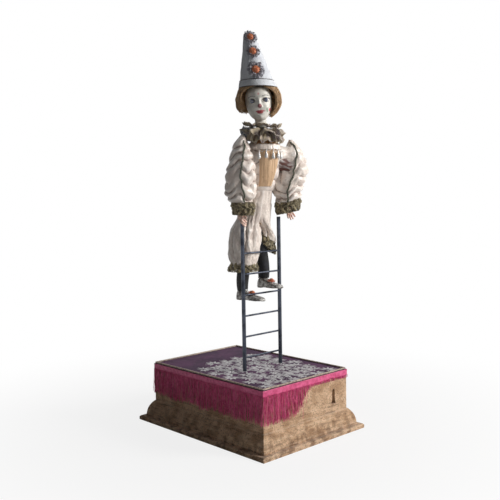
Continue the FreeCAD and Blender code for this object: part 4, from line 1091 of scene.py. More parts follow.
def rim_hold(piece: Piece, low: float, high: float, soft: float = 4.0) -> Array:
    """Hold weights that are 1 at two heights, in millimetres, and 0 between them."""
    z = Bench.points(piece)[:, 2] / MM
    return np.clip(1 - np.minimum(np.abs(z - low), np.abs(z - high)) / soft, 0, 1)


@dataclass(frozen=True)
class Frill:
    """Gathered ring of lace about an axis, waving more towards its edge, in millimetres.

    Attributes:
        inner: radius of its seam, and outer that of its edge.
        waves: how many waves it has.
        rise: height of the waves.
        drop: how far its edge falls.
        seed: which folds.
        rough: how much the waves differ.
        crush: depth of the crumpling.
        spread: below 1, the ring leaves its seam quickly and falls late.
    """

    inner: float
    outer: float
    waves: int
    rise: float
    drop: float = 0.0
    seed: float = 1.0
    rough: float = 0.35
    crush: float = 0.0
    spread: float = 1.0

    def place(self, u: Array, v: Array) -> Array:
        """Point at u round the ring and v out from its seam."""
        angle = u * 2 * math.pi
        slow = roughly(ring(angle, 1.7, v * 0.6), self.seed, 2)
        phase = angle * self.waves + slow * 5
        lift = np.sin(phase) * self.rise * v**1.1 * (1 + self.rough * slow * 2)
        lean = np.cos(phase) * self.rise * 0.35 * v
        radius = self.inner + (self.outer - self.inner) * v**self.spread * (1 + 0.18 * slow)
        fall = v**1.5
        if self.spread < 1:
            radius = radius + np.sin(phase) * self.rise * 0.7 * v
            fall = v**2.2
        flat = ring(angle + lean / max(self.outer, 1), radius, lift - self.drop * fall)
        if not self.crush:
            return flat
        fold = roughly(np.c_[flat[:, :2] * 0.11, v * 1.5], self.seed + 3, 2)
        side = roughly(np.c_[flat[:, :2] * 0.09, v], self.seed + 5, 2)
        weight = np.clip(v * 2.2, 0, 1)
        flat[:, 2] += self.crush * (1 - 2 * np.abs(fold) - 0.5) * weight * 1.6
        flat[:, :2] *= (1 + 0.09 * side * weight)[:, None]
        return flat

    def make(self, name: str, at: Matrix, steps: int, per_wave: int) -> Piece:
        """The frill as a piece, placed by a matrix in metres."""
        piece = Bench.sheet(name, self.waves * per_wave, steps, self.place, closed=True)
        return Bench.placed(piece, at)


def facing(at: Point, normal: Point) -> Matrix:
    """Frame at a point in millimetres whose +Z is the normal."""
    turn = Vector(normal).to_track_quat("Z", "Y").to_matrix().to_4x4()
    return Matrix.Translation(Vector(at) * MM) @ turn


class Wardrobe:
    """All finishes, made once."""

    def __init__(self) -> None:
        """Make every material."""
        self.finish = {
            "velvet": Flock(),
            "board": Wood("base_board", (150, 116, 80), (96, 70, 46)),
            "screw_steel": Metal("screw_steel", (128, 124, 118), (70, 60, 52)),
            "deck_silk": DeckSilk(),
            "embroidery": Thread("silver_thread", (208, 206, 206), (132, 126, 134), 0.42, 0.5, 160),
            "braid": Thread("edge_braid", (226, 210, 190), (140, 120, 112), 0.5, 0.6, 300),
            "fringe": Thread("pink_silk", (236, 112, 160), (190, 52, 104), 0.45, 0.5, 200),
            "gunmetal": Metal("gunmetal", (70, 74, 84), (34, 36, 42), 0.42),
            "brass": Metal("brass", (196, 160, 92), (122, 90, 48), 0.34),
            "steel": Metal("steel", (150, 152, 156), (94, 90, 88), 0.3),
            "carved_wood": Wood("carved_wood", (178, 142, 100), (122, 90, 58)),
            "stocking": Stocking(),
            # The third colour of each satin is its stain colour and also the painted shade in its folds.
            "cream_satin": Satin("cream_satin", (238, 226, 216), (190, 170, 160), (128, 106, 96)),
            "tan_satin": Satin("tan_satin", (214, 178, 140), (190, 152, 114), (150, 108, 74), 0.5),
            "yoke": Satin("yoke_velvet", (176, 130, 88), (136, 96, 64), (104, 70, 46), 0.75),
            # Painted shade: a dark rust sheet that stands in for the shade below the left armhole.
            "lining": Satin("rust_lining", (84, 38, 26), (52, 22, 18), (36, 16, 14), 0.7),
            "beads": Gloss("paste_bead", (240, 240, 240), (214, 214, 212)),
            "gauze": Gauze(),
            "metal_lace": Lace("metal_lace", (156, 144, 112), (76, 66, 46), 0.4),
            "gimp": Thread("grey_gimp", (116, 120, 102), (58, 60, 52), 0.4, 0.7, 500),
            "bisque": PaintedBisque(),
            "hand": PlainBisque(),
            "eye_glass": GlassEye(),
            "hair": Thread("mohair", (206, 172, 130), (132, 98, 64), 0.5, 0.7, 130),
            "hat_felt": Plush(),
            "hat_line": Thread("hat_cord", (70, 64, 60), (38, 34, 34), 0.6, 0.4),
            # Its deep colour is the painted shade in the folds of the lace.
            "rosette": Lace("grey_lace", (216, 215, 222), (156, 152, 164), deep=(78, 72, 86)),
            "copper": Thread("copper_knot", (244, 164, 116), (168, 66, 38), 0.34, 0.8, 500),
            "coral": Thread("coral_knot", (250, 182, 148), (226, 128, 98), 0.45, 0.6, 700),
            "navy": Satin("navy_ribbon", (30, 32, 52), (16, 18, 32), (10, 10, 18), 0.4),
            "shoe_leather": Leather(),
            "shoe_sole": Wood("shoe_sole", (112, 92, 72), (70, 54, 42)),
        }
        self.made: dict[str, Material] = {}

    def __getitem__(self, name: str) -> Material:
        """The material of a finish."""
        if name not in self.made:
            self.made[name] = self.finish[name].make()
        return self.made[name]

    def dress(self, piece: Piece, finish: str) -> Piece:
        """Give a piece one finish all over."""
        piece.data.materials.clear()
        piece.data.materials.append(self[finish])
        return piece


def finished(piece: Piece, cloth: Wardrobe, finish: str, slot: str, body: Body | tuple,
             *nodes: str) -> Piece:
    """Dress a piece, tie it to its body where it has one and hide the CAD nodes it replaces.

    Args:
        piece: the finished mesh.
        cloth: the finishes.
        finish: the finish's name.
        slot: not used.
        body: the body it rides on, or (body, body, start, end) for cloth across a joint, in millimetres.
        nodes: the CAD nodes it replaces.

    Returns:
        The piece.
    """
    cloth.dress(piece, finish)
    # Fold depth for the cloth finishes, which paint shade in its valleys and a highlight on its ridges.
    if isinstance(cloth.finish[finish], (Satin, Lace, Gauze)):
        Bench.hollows(piece)
    if isinstance(body, Body):
        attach(piece, body.value)
    else:
        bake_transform(piece)
    if nodes:
        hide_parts(*nodes)
    area = sum(face.area for face in piece.data.polygons)
    log.info("%s: %d faces, %.5f m2 over both sides", piece.name, len(piece.data.polygons), area)
    return piece


@dataclass(frozen=True)
class Cut:
    """A sheet's flat size and how it is held.

    Attributes:
        flat: width and length, in metres.
        held: how it is held.
        rests_on: the piece it rests on.
        area: in square metres, where the cut isn't a rectangle.
    """

    flat: tuple[float, float]
    held: str
    rests_on: str
    area: float | None = None


def sewn(piece: Piece, wall: float, cut: Cut, cloth: Wardrobe, finish: str, slot: str, body: Body | tuple,
         *nodes: str) -> None:
    """Give a cloth piece its wall and finish it; wall is in millimetres."""
    finished(Bench.thick(piece, wall), cloth, finish, slot, body, *nodes)


@dataclass
class Stage:
    """Camera at the photograph's angle, pale floor and plain soft light.

    Attributes:
        lens: focal length, in millimetres.
        place: the camera's place, in metres.
        yaw: direction of view from +X, in radians.
        pitch: how far it looks down, in degrees.
        roll: in radians.
    """

    lens: float = 54.0
    place: Point = (-0.85825, -0.92609, 0.39633)
    yaw: float = 0.818
    pitch: float = 4.5
    roll: float = -0.017

    def camera(self) -> None:
        """Stand the camera where the photograph was taken."""
        pitch = math.radians(self.pitch)
        level = math.cos(pitch)
        view = Vector((math.cos(self.yaw) * level, math.sin(self.yaw) * level, -math.sin(pitch)))
        right = Vector((math.sin(self.yaw), -math.cos(self.yaw), 0))
        up = right.cross(view)
        c, s = math.cos(self.roll), math.sin(self.roll)
        right, up = right * c + up * s, up * c - right * s
        data = bpy.data.cameras.new("view")
        data.lens, data.sensor_width, data.shift_y = self.lens, 36.0, 0.0018
        data.clip_start, data.clip_end = 0.05, 20
        camera = bpy.data.objects.new("view", data)
        turn = Matrix((right, up, -view)).transposed().to_4x4()
        camera.matrix_world = Matrix.Translation(self.place) @ turn
        bpy.context.scene.collection.objects.link(camera)
        bpy.context.scene.camera = camera

    def lamp(self, name: str, at: Point, size: float, power: float, tint: Colour = (255, 255, 255)) -> None:
        """Square lamp aimed at the middle of the object."""
        data = bpy.data.lights.new(name, "AREA")
        data.size, data.energy, data.color = size, power, linear(tint)[:3]
        lamp = bpy.data.objects.new(name, data)
        aim = Vector((0, 0, 0.3)) - Vector(at)
        lamp.matrix_world = Matrix.Translation(at) @ aim.to_track_quat("-Z", "Y").to_matrix().to_4x4()
        bpy.context.scene.collection.objects.link(lamp)

    def seen(self, s: Shader) -> Socket:
        """1 for rays that show the background: camera, mirror and glass."""
        paths = [s.node("ShaderNodeLightPath", out=kind)
                 for kind in ("Is Camera Ray", "Is Glossy Ray", "Is Transmission Ray")]
        return (paths[0] + paths[1] + paths[2]).least(1.0)

    def floor(self) -> None:
        """Pale floor that fades to white."""
        Bench.clear()
        bpy.ops.mesh.primitive_plane_add(size=12, location=(0, 0, 0))
        piece = Bench.added("floor")
        s = Shader("pale_floor")
        at = s.place()
        x, y, _ = s.parts(at)
        away = ((x * x + y * y) ** 0.5).step(0.16, 0.75)
        tone = s.mix(s.noise(at, 3, 2) * 0.2, (226, 226, 226), (222, 222, 222))
        matt = s.node("ShaderNodeBsdfDiffuse", None, {"Color": tone})
        glow = s.node("ShaderNodeEmission", None, {"Color": (1, 1, 1, 1), "Strength": 1.0})
        both = s.node("ShaderNodeMixShader", None, {0: self.seen(s) * (away * 0.16 + 0.84), 1: matt, 2: glow})
        s.node("ShaderNodeOutputMaterial", None, {"Surface": both})
        piece.data.materials.append(s.owner)

    def make(self) -> None:
        """Set camera, lamps, floor and world."""
        self.camera()
        self.floor()
        self.lamp("key", (1.0, -1.5, 1.0), 0.7, 37.0, (255, 253, 250))
        self.lamp("fill", (-1.2, -1.6, 0.9), 1.2, 0.5, (246, 249, 255))
        self.lamp("back", (1.2, 1.3, 1.2), 1.2, 5.0)
        world = bpy.data.worlds.new("studio")
        bpy.context.scene.world = world
        s = Shader(world)
        strength = self.seen(s) * 0.95 + 0.05
        sky = s.node("ShaderNodeBackground", None, {"Color": (1, 1, 1, 1), "Strength": strength})
        s.node("ShaderNodeOutputWorld", None, {"Surface": sky})
        bpy.context.scene.view_settings.view_transform = "Standard"


@dataclass
class Base:
    """Covered box with its deck cloth, braid and fringe."""

    half_x: float = 96.5
    half_y: float = 136.0
    top: float = 100.0
    braid: float = 1.5
    header: float = 10.0
    length: float = 52.0
    seed: int = 5

    def deck(self, cloth: Wardrobe) -> None:
        """Silk cloth on the deck, with its embroidery."""

        def place(u: Array, v: Array) -> Array:
            """Flat cloth with slight puckers."""
            x, y = (u - 0.5) * 2 * self.half_x, (v - 0.5) * 2 * self.half_y
            lift = roughly(np.c_[x, y, x * 0] * 0.06, 3.0, 3) * 0.35
            return np.c_[x, y, np.full_like(x, self.top - 0.05) + np.minimum(lift, 0.1)]

        silk = Bench.thick(Bench.sheet("deck_silk", 80, 110, place), 0.5)
        finished(silk, cloth, "deck_silk", "deck_silk", Body.BASE, "deck_cloth")
        work = self.embroidery(cloth)

    def leaf(self) -> Piece:
        """One stitched leaf, 10 long, lying along +X with its foot at the origin."""

        def place(u: Array, v: Array) -> Array:
            """Pointed oval, ribbed and raised along its middle."""
            x = u * 10
            half = 2.5 * np.sin(np.pi * np.clip(u, 0.02, 0.98)) ** 0.8 * (1 - 0.35 * u)
            y = (v - 0.5) * 2 * half
            side = np.abs(v - 0.5) * 2
            return np.c_[x + side * 1.2, y, 0.75 * (1 - side**2) + 0.28 * np.abs(np.sin(u * 16)) * side]

        return Bench.sheet("leaf", 9, 6, place)

    def embroidery(self, cloth: Wardrobe) -> Piece:
        """Scattered leaf fans with curled stems, none along the rear edge."""
        draw = random.Random(self.seed)
        places, stems, knots = [], [], []
        for row in range(10):
            for column in range(6):
                x = -72 + 28.5 * column + (14 if row % 2 else 0) + draw.uniform(-2, 2)
                y = -118 + 19.0 * row + draw.uniform(-2, 2)
                bare = y > 62 - abs(x) * 0.12
                if x < -82 or x > 76 or bare or (y > 45 and draw.random() < 0.25):
                    continue
                start = draw.uniform(0, 360)
                for k in range(9):
                    turn = math.radians(start - 130 + 32.5 * k)
                    size = (1.42 - 0.09 * abs(k - 4)) * draw.uniform(0.95, 1.1)
                    foot = Vector((x + 1.6 * math.cos(turn), y + 1.6 * math.sin(turn), self.top)) * MM
                    leaf = Matrix.Rotation(turn, 4, "Z") @ Matrix.Diagonal((size, size, 1, 1))
                    places.append(Matrix.Translation(foot) @ leaf)
                    if k % 2:
                        far = (x + 15.5 * math.cos(turn), y + 15.5 * math.sin(turn), self.top + 0.3)
                        knots.append(Vector(far))
                back = math.radians(start + 180)
                t = np.linspace(0, 1, 14)
                curl = back + t * draw.choice((-3.4, 3.4))
                reach = 2 + 15 * t * (1 - 0.35 * t)
                level = np.full_like(t, self.top + 0.35)
                stems.append(np.c_[x + np.cos(curl) * reach, y + np.sin(curl) * reach, level])
        leaves = Bench.copies("leaves", self.leaf(), places)
        wires = Bench.strands("stems", stems, 0.5, 0.5)
        seed = Bench.ball("seed", (0, 0, 0), (1.0, 1.0, 0.7), 8, 5)
        dots = Bench.copies("dots", seed, [Matrix.Translation(k * MM) for k in knots])
        work = Bench.join("deck_embroidery", [leaves, wires, dots])
        return finished(work, cloth, "embroidery", "deck_silk", Body.BASE)

    def twisted(self, start: Point, end: Point) -> list[Array]:
        """Three strands twisted round a line."""
        start, end = np.array(start, float), np.array(end, float)
        length = np.linalg.norm(end - start)
        along = (end - start) / length
        s = np.arange(0, length, 0.62)
        side = np.cross(along, (0, 0, 1))
        lines = []
        for k in range(3):
            angle = s * (2 * math.pi / 5.2) + k * 2 * math.pi / 3
            offset = np.outer(np.cos(angle), side) + np.outer(np.sin(angle), (0, 0, 1))
            lines.append(start + np.outer(s, along) + offset * 0.8)
        return lines

    def edging(self, cloth: Wardrobe) -> None:
        """Twisted braid round the deck."""
        x, y, z = self.half_x - self.braid, self.half_y - self.braid, self.top + self.braid
        corners = [(-x, -y, z), (x, -y, z), (x, y, z), (-x, y, z)]
        lines = [line for k in range(4) for line in self.twisted(corners[k], corners[(k + 1) % 4])]
        braid = Bench.strands("twisted_braid", lines, 0.78, 1.0, 1)
        finished(braid, cloth, "braid", "braid", Body.BASE, "edge_braid")

    def reach(self, front: bool, x: float) -> float:
        """Length of the fringe below its header at a place along the front or another side."""
        full = self.length - self.header
        if not front:
            return full
        lengths = [full - 1, full + 3, full - 4, 24, 9, 3.5, 2.5, 3.5]
        return float(np.interp(x, [-99, -48, -24, -12, -2, 8, 20, 99], lengths))

    def side(self, name: str, start: Point, along: Point, out: Point, run: float, cloth: Wardrobe,
             *nodes: str) -> None:
        """One side's fringe: woven header and its threads.

        Args:
            name: the pieces' name.
            start: its end at the top edge, in millimetres.
            along: direction along the edge.
            out: direction away from the wall.
            run: length along the edge.
            cloth: the finishes.
            nodes: the CAD nodes it replaces.
        """
        front = name == "front"
        draw = random.Random(name)
        start, along, out = (np.array(p, float) for p in (start, along, out))
        seed = len(name) * 1.7

        def band(u: Array, v: Array) -> Array:
            """Woven band, slightly loose along its lower edge."""
            s, drop = u * run, v * (self.header + 0.6)
            wave = roughly(np.c_[s * 0.05, drop * 0.1, s * 0], seed, 2)
            rib = 0.16 * np.sin(drop * 2.6)
            thick = 1.0 + rib + wave * 0.8 * v
            sag = wave * (2.2 if front else 0.7) * v
            return start + np.outer(s, along) + np.outer(thick, out) - np.outer(drop + sag, (0, 0, 1))

        header = Bench.thick(Bench.sheet(name + "_header", int(run / 1.5), 10, band), 0.8)
        lines = []
        count = int(run / 0.55)
        for k in range(count):
            s = run * (k + draw.random()) / count
            x = start[0] + along[0] * s
            full = self.reach(front, x)
            if (front and x > -14 and draw.random() < 0.35) or (name == "right" and s < 12):
                continue
            clump = self.drift(s * 0.11, seed, 0) * 5.0 + self.drift(s * 0.5, seed, 2) * 2.4
            drop = full * draw.uniform(0.86, 1.04) + self.drift(s * 0.05, seed, 5) * 5 * (full > 20)
            if front and -14 < x < 8 and draw.random() < 0.18:
                drop *= 2.2
            sway, far = clump + draw.gauss(0, 1.3), 0.9 + draw.random() * 1.6
            t = np.linspace(0, 1, 8 if drop > 12 else 4)
            swing = np.sin(t * draw.uniform(3, 8) + draw.random() * 6) * draw.uniform(0.1, 0.7)
            bend = (sway * t**1.5 + swing) * min(1.0, drop / 25)
            lift = far + draw.uniform(-0.4, 2.6) * t**2 * min(1.0, drop / 30)
            down = self.header - 1.5 + t * (drop + 1.5)
            lines.append(start + np.outer(s + bend, along) + np.outer(lift, out) - np.outer(down, (0, 0, 1)))
        threads = Bench.strands(name + "_threads", lines, 0.42, 0.75)
        whole = Bench.join("fringe_" + name, [header, threads])
        finished(whole, cloth, "fringe", "fringe", Body.BASE, *nodes)

    @staticmethod
    def drift(*at: float) -> float:
        """Smooth noise about 0 along an edge."""
        return noise.noise(Vector(at))

    def make(self, cloth: Wardrobe) -> None:
        """Dress the deck and all four sides."""
        self.deck(cloth)
        self.edging(cloth)
        x, y, z = self.half_x, self.half_y, self.top - 0.5
        self.side("front", (-x - 1.2, -y, z), (1, 0, 0), (0, -1, 0), 2 * x + 2.4, cloth, "fringe_front")
        self.side("left", (-x, y, z), (0, -1, 0), (-1, 0, 0), 2 * y + 0.6, cloth, "fringe_left")
        self.side("right", (x, -y, z), (0, 1, 0), (1, 0, 0), 2 * y, cloth, "fringe_back")
        self.side("rear", (x, y, z), (-1, 0, 0), (0, 1, 0), 2 * x, cloth)


# The skull's height, half width, front and back, from chin to crown, in millimetres.
SKULL = (
    (8.5, 1, -11, -9), (10, 6.5, -16.5, -4), (12.5, 10.2, -19.8, 1), (16, 13.8, -21.4, 6),
    (20, 16.6, -22.4, 10), (26, 19.3, -23.9, 15), (33, 21, -24.9, 19), (40, 21.8, -25.1, 22),
    (47, 22, -25.3, 24.5), (54, 21, -24, 25), (60, 18.2, -20, 22.5), (65, 13.6, -13.5, 17), (69, 6, -6, 9),
    (70, 0.6, 0.4, 1.6))
# The face's soft bumps: rise, offset to both sides, level, half width and half height, in millimetres.
FEATURES = (
    (1.1, 0, 31.6, 2.3, 2.2), (1.3, 3.1, 30.4, 1.5, 1.6), (0.55, 11, 47.8, 5.5, 2.2),
    (1.5, 12, 27.5, 5.5, 5.5), (1.2, 0, 22.3, 6.5, 4.5), (0.8, 1.8, 23.4, 2.3, 1.0),
    (1.0, 0, 21.1, 3.3, 1.2), (-0.9, 0, 22.3, 4.4, 0.4), (-0.35, 0, 26.2, 0.9, 2.0),
    (1.5, 0, 14.2, 4.2, 2.8), (-0.7, 0, 18.2, 4.0, 1.3), (-1.0, 5.8, 42.5, 2.6, 3.2))


@dataclass
class Head:
    """Bisque head, glass eyes, wig, hat and rosettes, in the head's own frame."""

    hat_foot: float = 64.0
    hat_top: float = 150.0
    hat_radius: float = 30.0
    tip_radius: float = 9.0
    locks: int = 900
    seed: int = 11

    def face(self, cloth: Wardrobe) -> None:
        """Sculpted head on its neck."""
        heights, *outlines = zip(*SKULL)

        def place(u: Array, v: Array) -> Array:
            """Skull, jaw and features."""
            z = heights[0] + v * (heights[-1] - heights[0])
            half, front, back = (np.interp(z, heights, column) for column in outlines)
            w = 2 * u - 1
            angle = math.pi * w * (0.55 + 0.45 * w * w)
            middle, deep = (front + back) / 2, (back - front) / 2
            x = half * np.sign(np.sin(angle)) * np.abs(np.sin(angle)) ** 0.94
            y = middle - deep * np.sign(np.cos(angle)) * np.abs(np.cos(angle)) ** 0.94
            ahead = np.clip((-y - 8) / 8, 0, 1)
            ridge = np.clip((46.5 - z) / 14.5, 0, 1) ** 1.3 * np.exp(-(np.clip(30.8 - z, 0, 9) / 1.5) ** 2)
            wide = 1.7 + 1.2 * np.clip((44 - z) / 13, 0, 1)
            out = 4.4 * ridge * np.exp(-((x / wide) ** 2))
            for rise, aside, level, half_wide, half_tall in FEATURES:
                across, up = (np.abs(x) - aside) / half_wide, (z - level) / half_tall
                out += rise * np.exp(-(across**2) - up**2)
            off = np.abs(x) - EYE_SIDE
            almond = (off / 5.4) ** 2 + ((z - EYE_HEIGHT - 0.1 * off) / 3.2) ** 2
            out += 0.8 * np.exp(-(((almond - 1.2) / 0.35) ** 2)) - 4.8 * np.clip((1.02 - almond) * 3.2, 0, 1)
            return np.c_[x, y - out * ahead, z]

        skull = Bench.sheet("skull", 190, 150, place, closed=True)
        neck = Bench.lathe("neck", [(9.2, -38), (9.0, -10), (8.8, 2), (9.6, 12), (11, 18)], 40)
        head = Bench.placed(Bench.join("bisque_head", [skull, neck]), face_frame())
        finished(head, cloth, "bisque", "bisque", Body.HEAD, "head")
        places = [(side * 10.9, -15.4, EYE_HEIGHT) for side in (-1, 1)]
        eyes = [Bench.ball("eye", at, (6.2, 6.2, 6.2), 32, 20) for at in places]
        pair = Bench.placed(Bench.join("eye_pair", eyes), face_frame())
        finished(pair, cloth, "eye_glass", "eye_glass", Body.HEAD, "glass_eyes")

    def shell(self, angle: Array, z: Array, proud: Array | float) -> Array:
        """Point on the wig's outer form; angle 0 is the back, and the face is at 180 degrees."""
        heights = [12, 15, 20, 27, 34, 48, 58, 64, 67]
        wide = np.interp(z, heights, [17, 19, 26, 31.5, 35, 35.5, 32, 28.5, 26]) + proud
        deep = np.interp(z, heights, [18, 22, 27.5, 30, 31, 31, 29.5, 28.5, 26]) + proud
        return np.c_[np.sin(angle) * wide, 3.0 + np.cos(angle) * deep, z]

    def wig(self, cloth: Wardrobe) -> None:
        """Hair cap and its locks, parted to both sides of the face."""
        edge = math.radians(122)

        def cap(u: Array, v: Array) -> Array:
            """Shell behind the locks, from one side of the face round to the other."""
            angle = (u - 0.5) * 2 * edge
            low = 24 - 6 * np.sin(angle * 0.75)
            return self.shell(angle, low + (65 - low) * v, -1.8)

        under = Bench.thick(Bench.sheet("hair_cap", 80, 30, cap), 2.2)
        draw = random.Random(self.seed)
        lines = []
        for _ in range(self.locks):
            start = draw.uniform(-180, 180)
            t = np.linspace(0, 1, 12)
            if abs(start) > 126:
                side = math.copysign(1, start)
                end = side * draw.uniform(112, 127)
                sweep = t**0.75
                angle = start + (end - start) * np.clip(sweep * 1.7, 0, 1)
                foot = draw.uniform(32, 44) if start < 0 else draw.uniform(17, 38)
                z = 66 - (66 - foot) * t**1.3
                tucked = np.clip(1 - t * 2.4, 0, 1) * np.clip((np.abs(angle) - 118) / 40, 0, 1)
                proud = -4.2 * tucked + draw.uniform(-0.6, 1.4)
            else:
                angle = start + draw.uniform(-14, 14) * t
                foot = 23 - 7.5 * math.sin(math.radians(start) * 0.75) + draw.uniform(-2, 6)
                z = 66 - (66 - foot) * t
                proud = draw.uniform(-0.8, 2.2) + 0 * t
            wave = np.sin(t * draw.uniform(5, 11) + draw.random() * 6)
            angle = angle + wave * draw.uniform(0.6, 2.4) * t
            proud = proud + wave * draw.uniform(0.1, 0.7)
            lines.append(self.shell(np.radians(angle), z, proud))
        hair = Bench.join("wig_locks", [under, Bench.strands("locks", lines, 0.62, 0.45)])
        finished(Bench.placed(hair, face_frame()), cloth, "hair", "hair", Body.HEAD, "wig")

    def cone(self, z: float) -> float:
        """Radius of the hat at a height."""
        narrowing = (self.tip_radius - self.hat_radius) * (z - self.hat_foot)
        return self.hat_radius + narrowing / (self.hat_top - self.hat_foot)

    def hat_frame(self) -> Matrix:
        """The hat's own frame: its foot level and its cone leaning to the figure's right, in metres."""
        foot = Matrix.Translation((2.3 * MM, 2 * MM, self.hat_foot * MM))
        lean = Matrix.Identity(4)
        lean[0][2] = -12.6 / (self.hat_top - self.hat_foot)
        back = Matrix.Translation((0, 0, -self.hat_foot * MM))
        return head_frame() @ foot @ spun(-HEAD_LEAN, "Y") @ lean @ back

    def hat(self, cloth: Wardrobe) -> None:
        """Plush cone with its band and the cord above it."""
        steps = np.linspace(self.hat_foot, self.hat_top, 14)
        profile = [(self.cone(z), z) for z in steps] + [(6.6, 151.6), (4.2, 152.8), (1.2, 153.4)]
        hat = Bench.lathe("plush_hat", [(29.0, 63.6)] + profile, 72, foot=False)
        co = Bench.points(hat) / MM
        dent = roughly(co * 0.05, 4.0, 3)[:, None] * np.c_[co[:, 0], co[:, 1], co[:, 2] * 0] / 30
        hat = Bench.thick(Bench.move(hat, (co + dent * 1.6) * MM), 1.2)
        shift = self.hat_frame()
        finished(Bench.placed(hat, shift), cloth, "hat_felt", "hat_felt", Body.HEAD, "hat")
        low, high = self.hat_foot - 0.6, self.hat_foot + 10.0
        band = Bench.lathe("hat_band", [(self.cone(low) - 0.2, low), (self.cone(low) + 1.3, low + 0.4),
                                        (self.cone(66) + 1.6, 66), (self.cone(71) + 1.5, 71),
                                        (self.cone(high) + 1.0, high), (self.cone(high) - 0.2, high + 0.2)],
                           72, foot=False, top=False)
        finished(Bench.placed(band, shift), cloth, "hat_felt", "hat_felt", Body.HEAD)
        turn = np.linspace(0, 2 * math.pi, 73)
        rings = [(self.cone(z) + out, z) for z, out in ((high + 0.6, 0.8), (low + 0.1, 1.2))]
        lines = [ring(turn, radius, np.full_like(turn, z)) for radius, z in rings]
        cords = Bench.placed(Bench.strands("hat_cords", lines, 0.55, 1.0, 1), shift)
        finished(cords, cloth, "hat_line", "hat_felt", Body.HEAD)

    def rosettes(self, cloth: Wardrobe) -> None:
        """Three gathered rosettes down the front of the hat."""
        frills, knots = [], []
        slope = (self.hat_radius - self.tip_radius) / (self.hat_top - self.hat_foot)
        for k, (z, radius) in enumerate(((142.5, 11.5), (119, 11.0), (88.5, 14.0))):
            normal = Vector((0.05, -1, slope)).normalized()
            at = Vector((0.5, -self.cone(z), z)) + normal * 1.2
            frills += rosette(at, normal, radius, k)
            knots.append(knot(at + normal * 2.6, normal, 4.6 + 0.5 * k))
        lace = Bench.placed(Bench.join("hat_rosette_frills", frills), self.hat_frame())
        finished(lace, cloth, "rosette", "rosette", Body.HEAD, "hat_rosettes")
        hearts = Bench.placed(Bench.join("hat_rosette_knots", knots), self.hat_frame())
        finished(hearts, cloth, "copper", "rosette", Body.HEAD)

    def make(self, cloth: Wardrobe) -> None:
        """Build the whole head."""
        self.face(cloth)
        self.wig(cloth)
        self.hat(cloth)
        self.rosettes(cloth)


def rosette(at: Vector, normal: Vector, radius: float, seed: float) -> list[Piece]:
    """Two gathered frills, one on the other, at a point in millimetres."""
    spin = Matrix.Rotation(seed * 1.3, 4, "Z")
    outer = Frill(radius * 0.18, radius, 11, radius * 0.16, -radius * 0.12, seed + 1.0)
    inner = Frill(radius * 0.15, radius * 0.68, 9, radius * 0.16, -radius * 0.28, seed + 5.0)
    return [outer.make("frill", facing(at, normal) @ spin, 6, 9),
            inner.make("frill", facing(at + normal * 0.7, normal) @ spin, 5, 8)]


def knot(at: Vector, normal: Vector, radius: float) -> Piece:
    """Small wound ball at a rosette's middle."""
    turns = np.linspace(0, 1, 90)
    angle = turns * 2 * math.pi * 9
    rise = turns * math.pi
    lines = [ring(angle, np.sin(rise), np.cos(rise) * 0.7) * radius]
    core = Bench.ball("core", (0, 0, 0), (radius * 0.9, radius * 0.9, radius * 0.62), 14, 8)
    wound = Bench.join("knot", [core, Bench.strands("wound", lines, radius * 0.2)])
    return Bench.placed(wound, facing(at, normal))


def joined_tube(name: str, first: Point, second: Point, radii: Point, seed: float) -> Piece:
    """Short gathered tube of cloth between two points, as at an armhole.

    Args:
        name: the piece's name.
        first: its start, in millimetres.
        second: its end.
        radii: radius at the start, the middle and the end.
        seed: which creases.

    Returns:
        The piece, without its wall.
    """
    length = (Vector(second) - Vector(first)).length

    def place(u: Array, v: Array) -> Array:
        """Gathered round tube along +Z."""
        angle = u * 2 * math.pi
        fold = roughly(ring(angle, 2.4, v * 1.2), seed, 3)
        return ring(angle, between(radii, v) + 1.5 * fold, v * length)

    piece = Bench.sheet(name, 72, 20, place, closed=True)
    return Bench.placed(piece, facing(first, Vector(second) - Vector(first)))


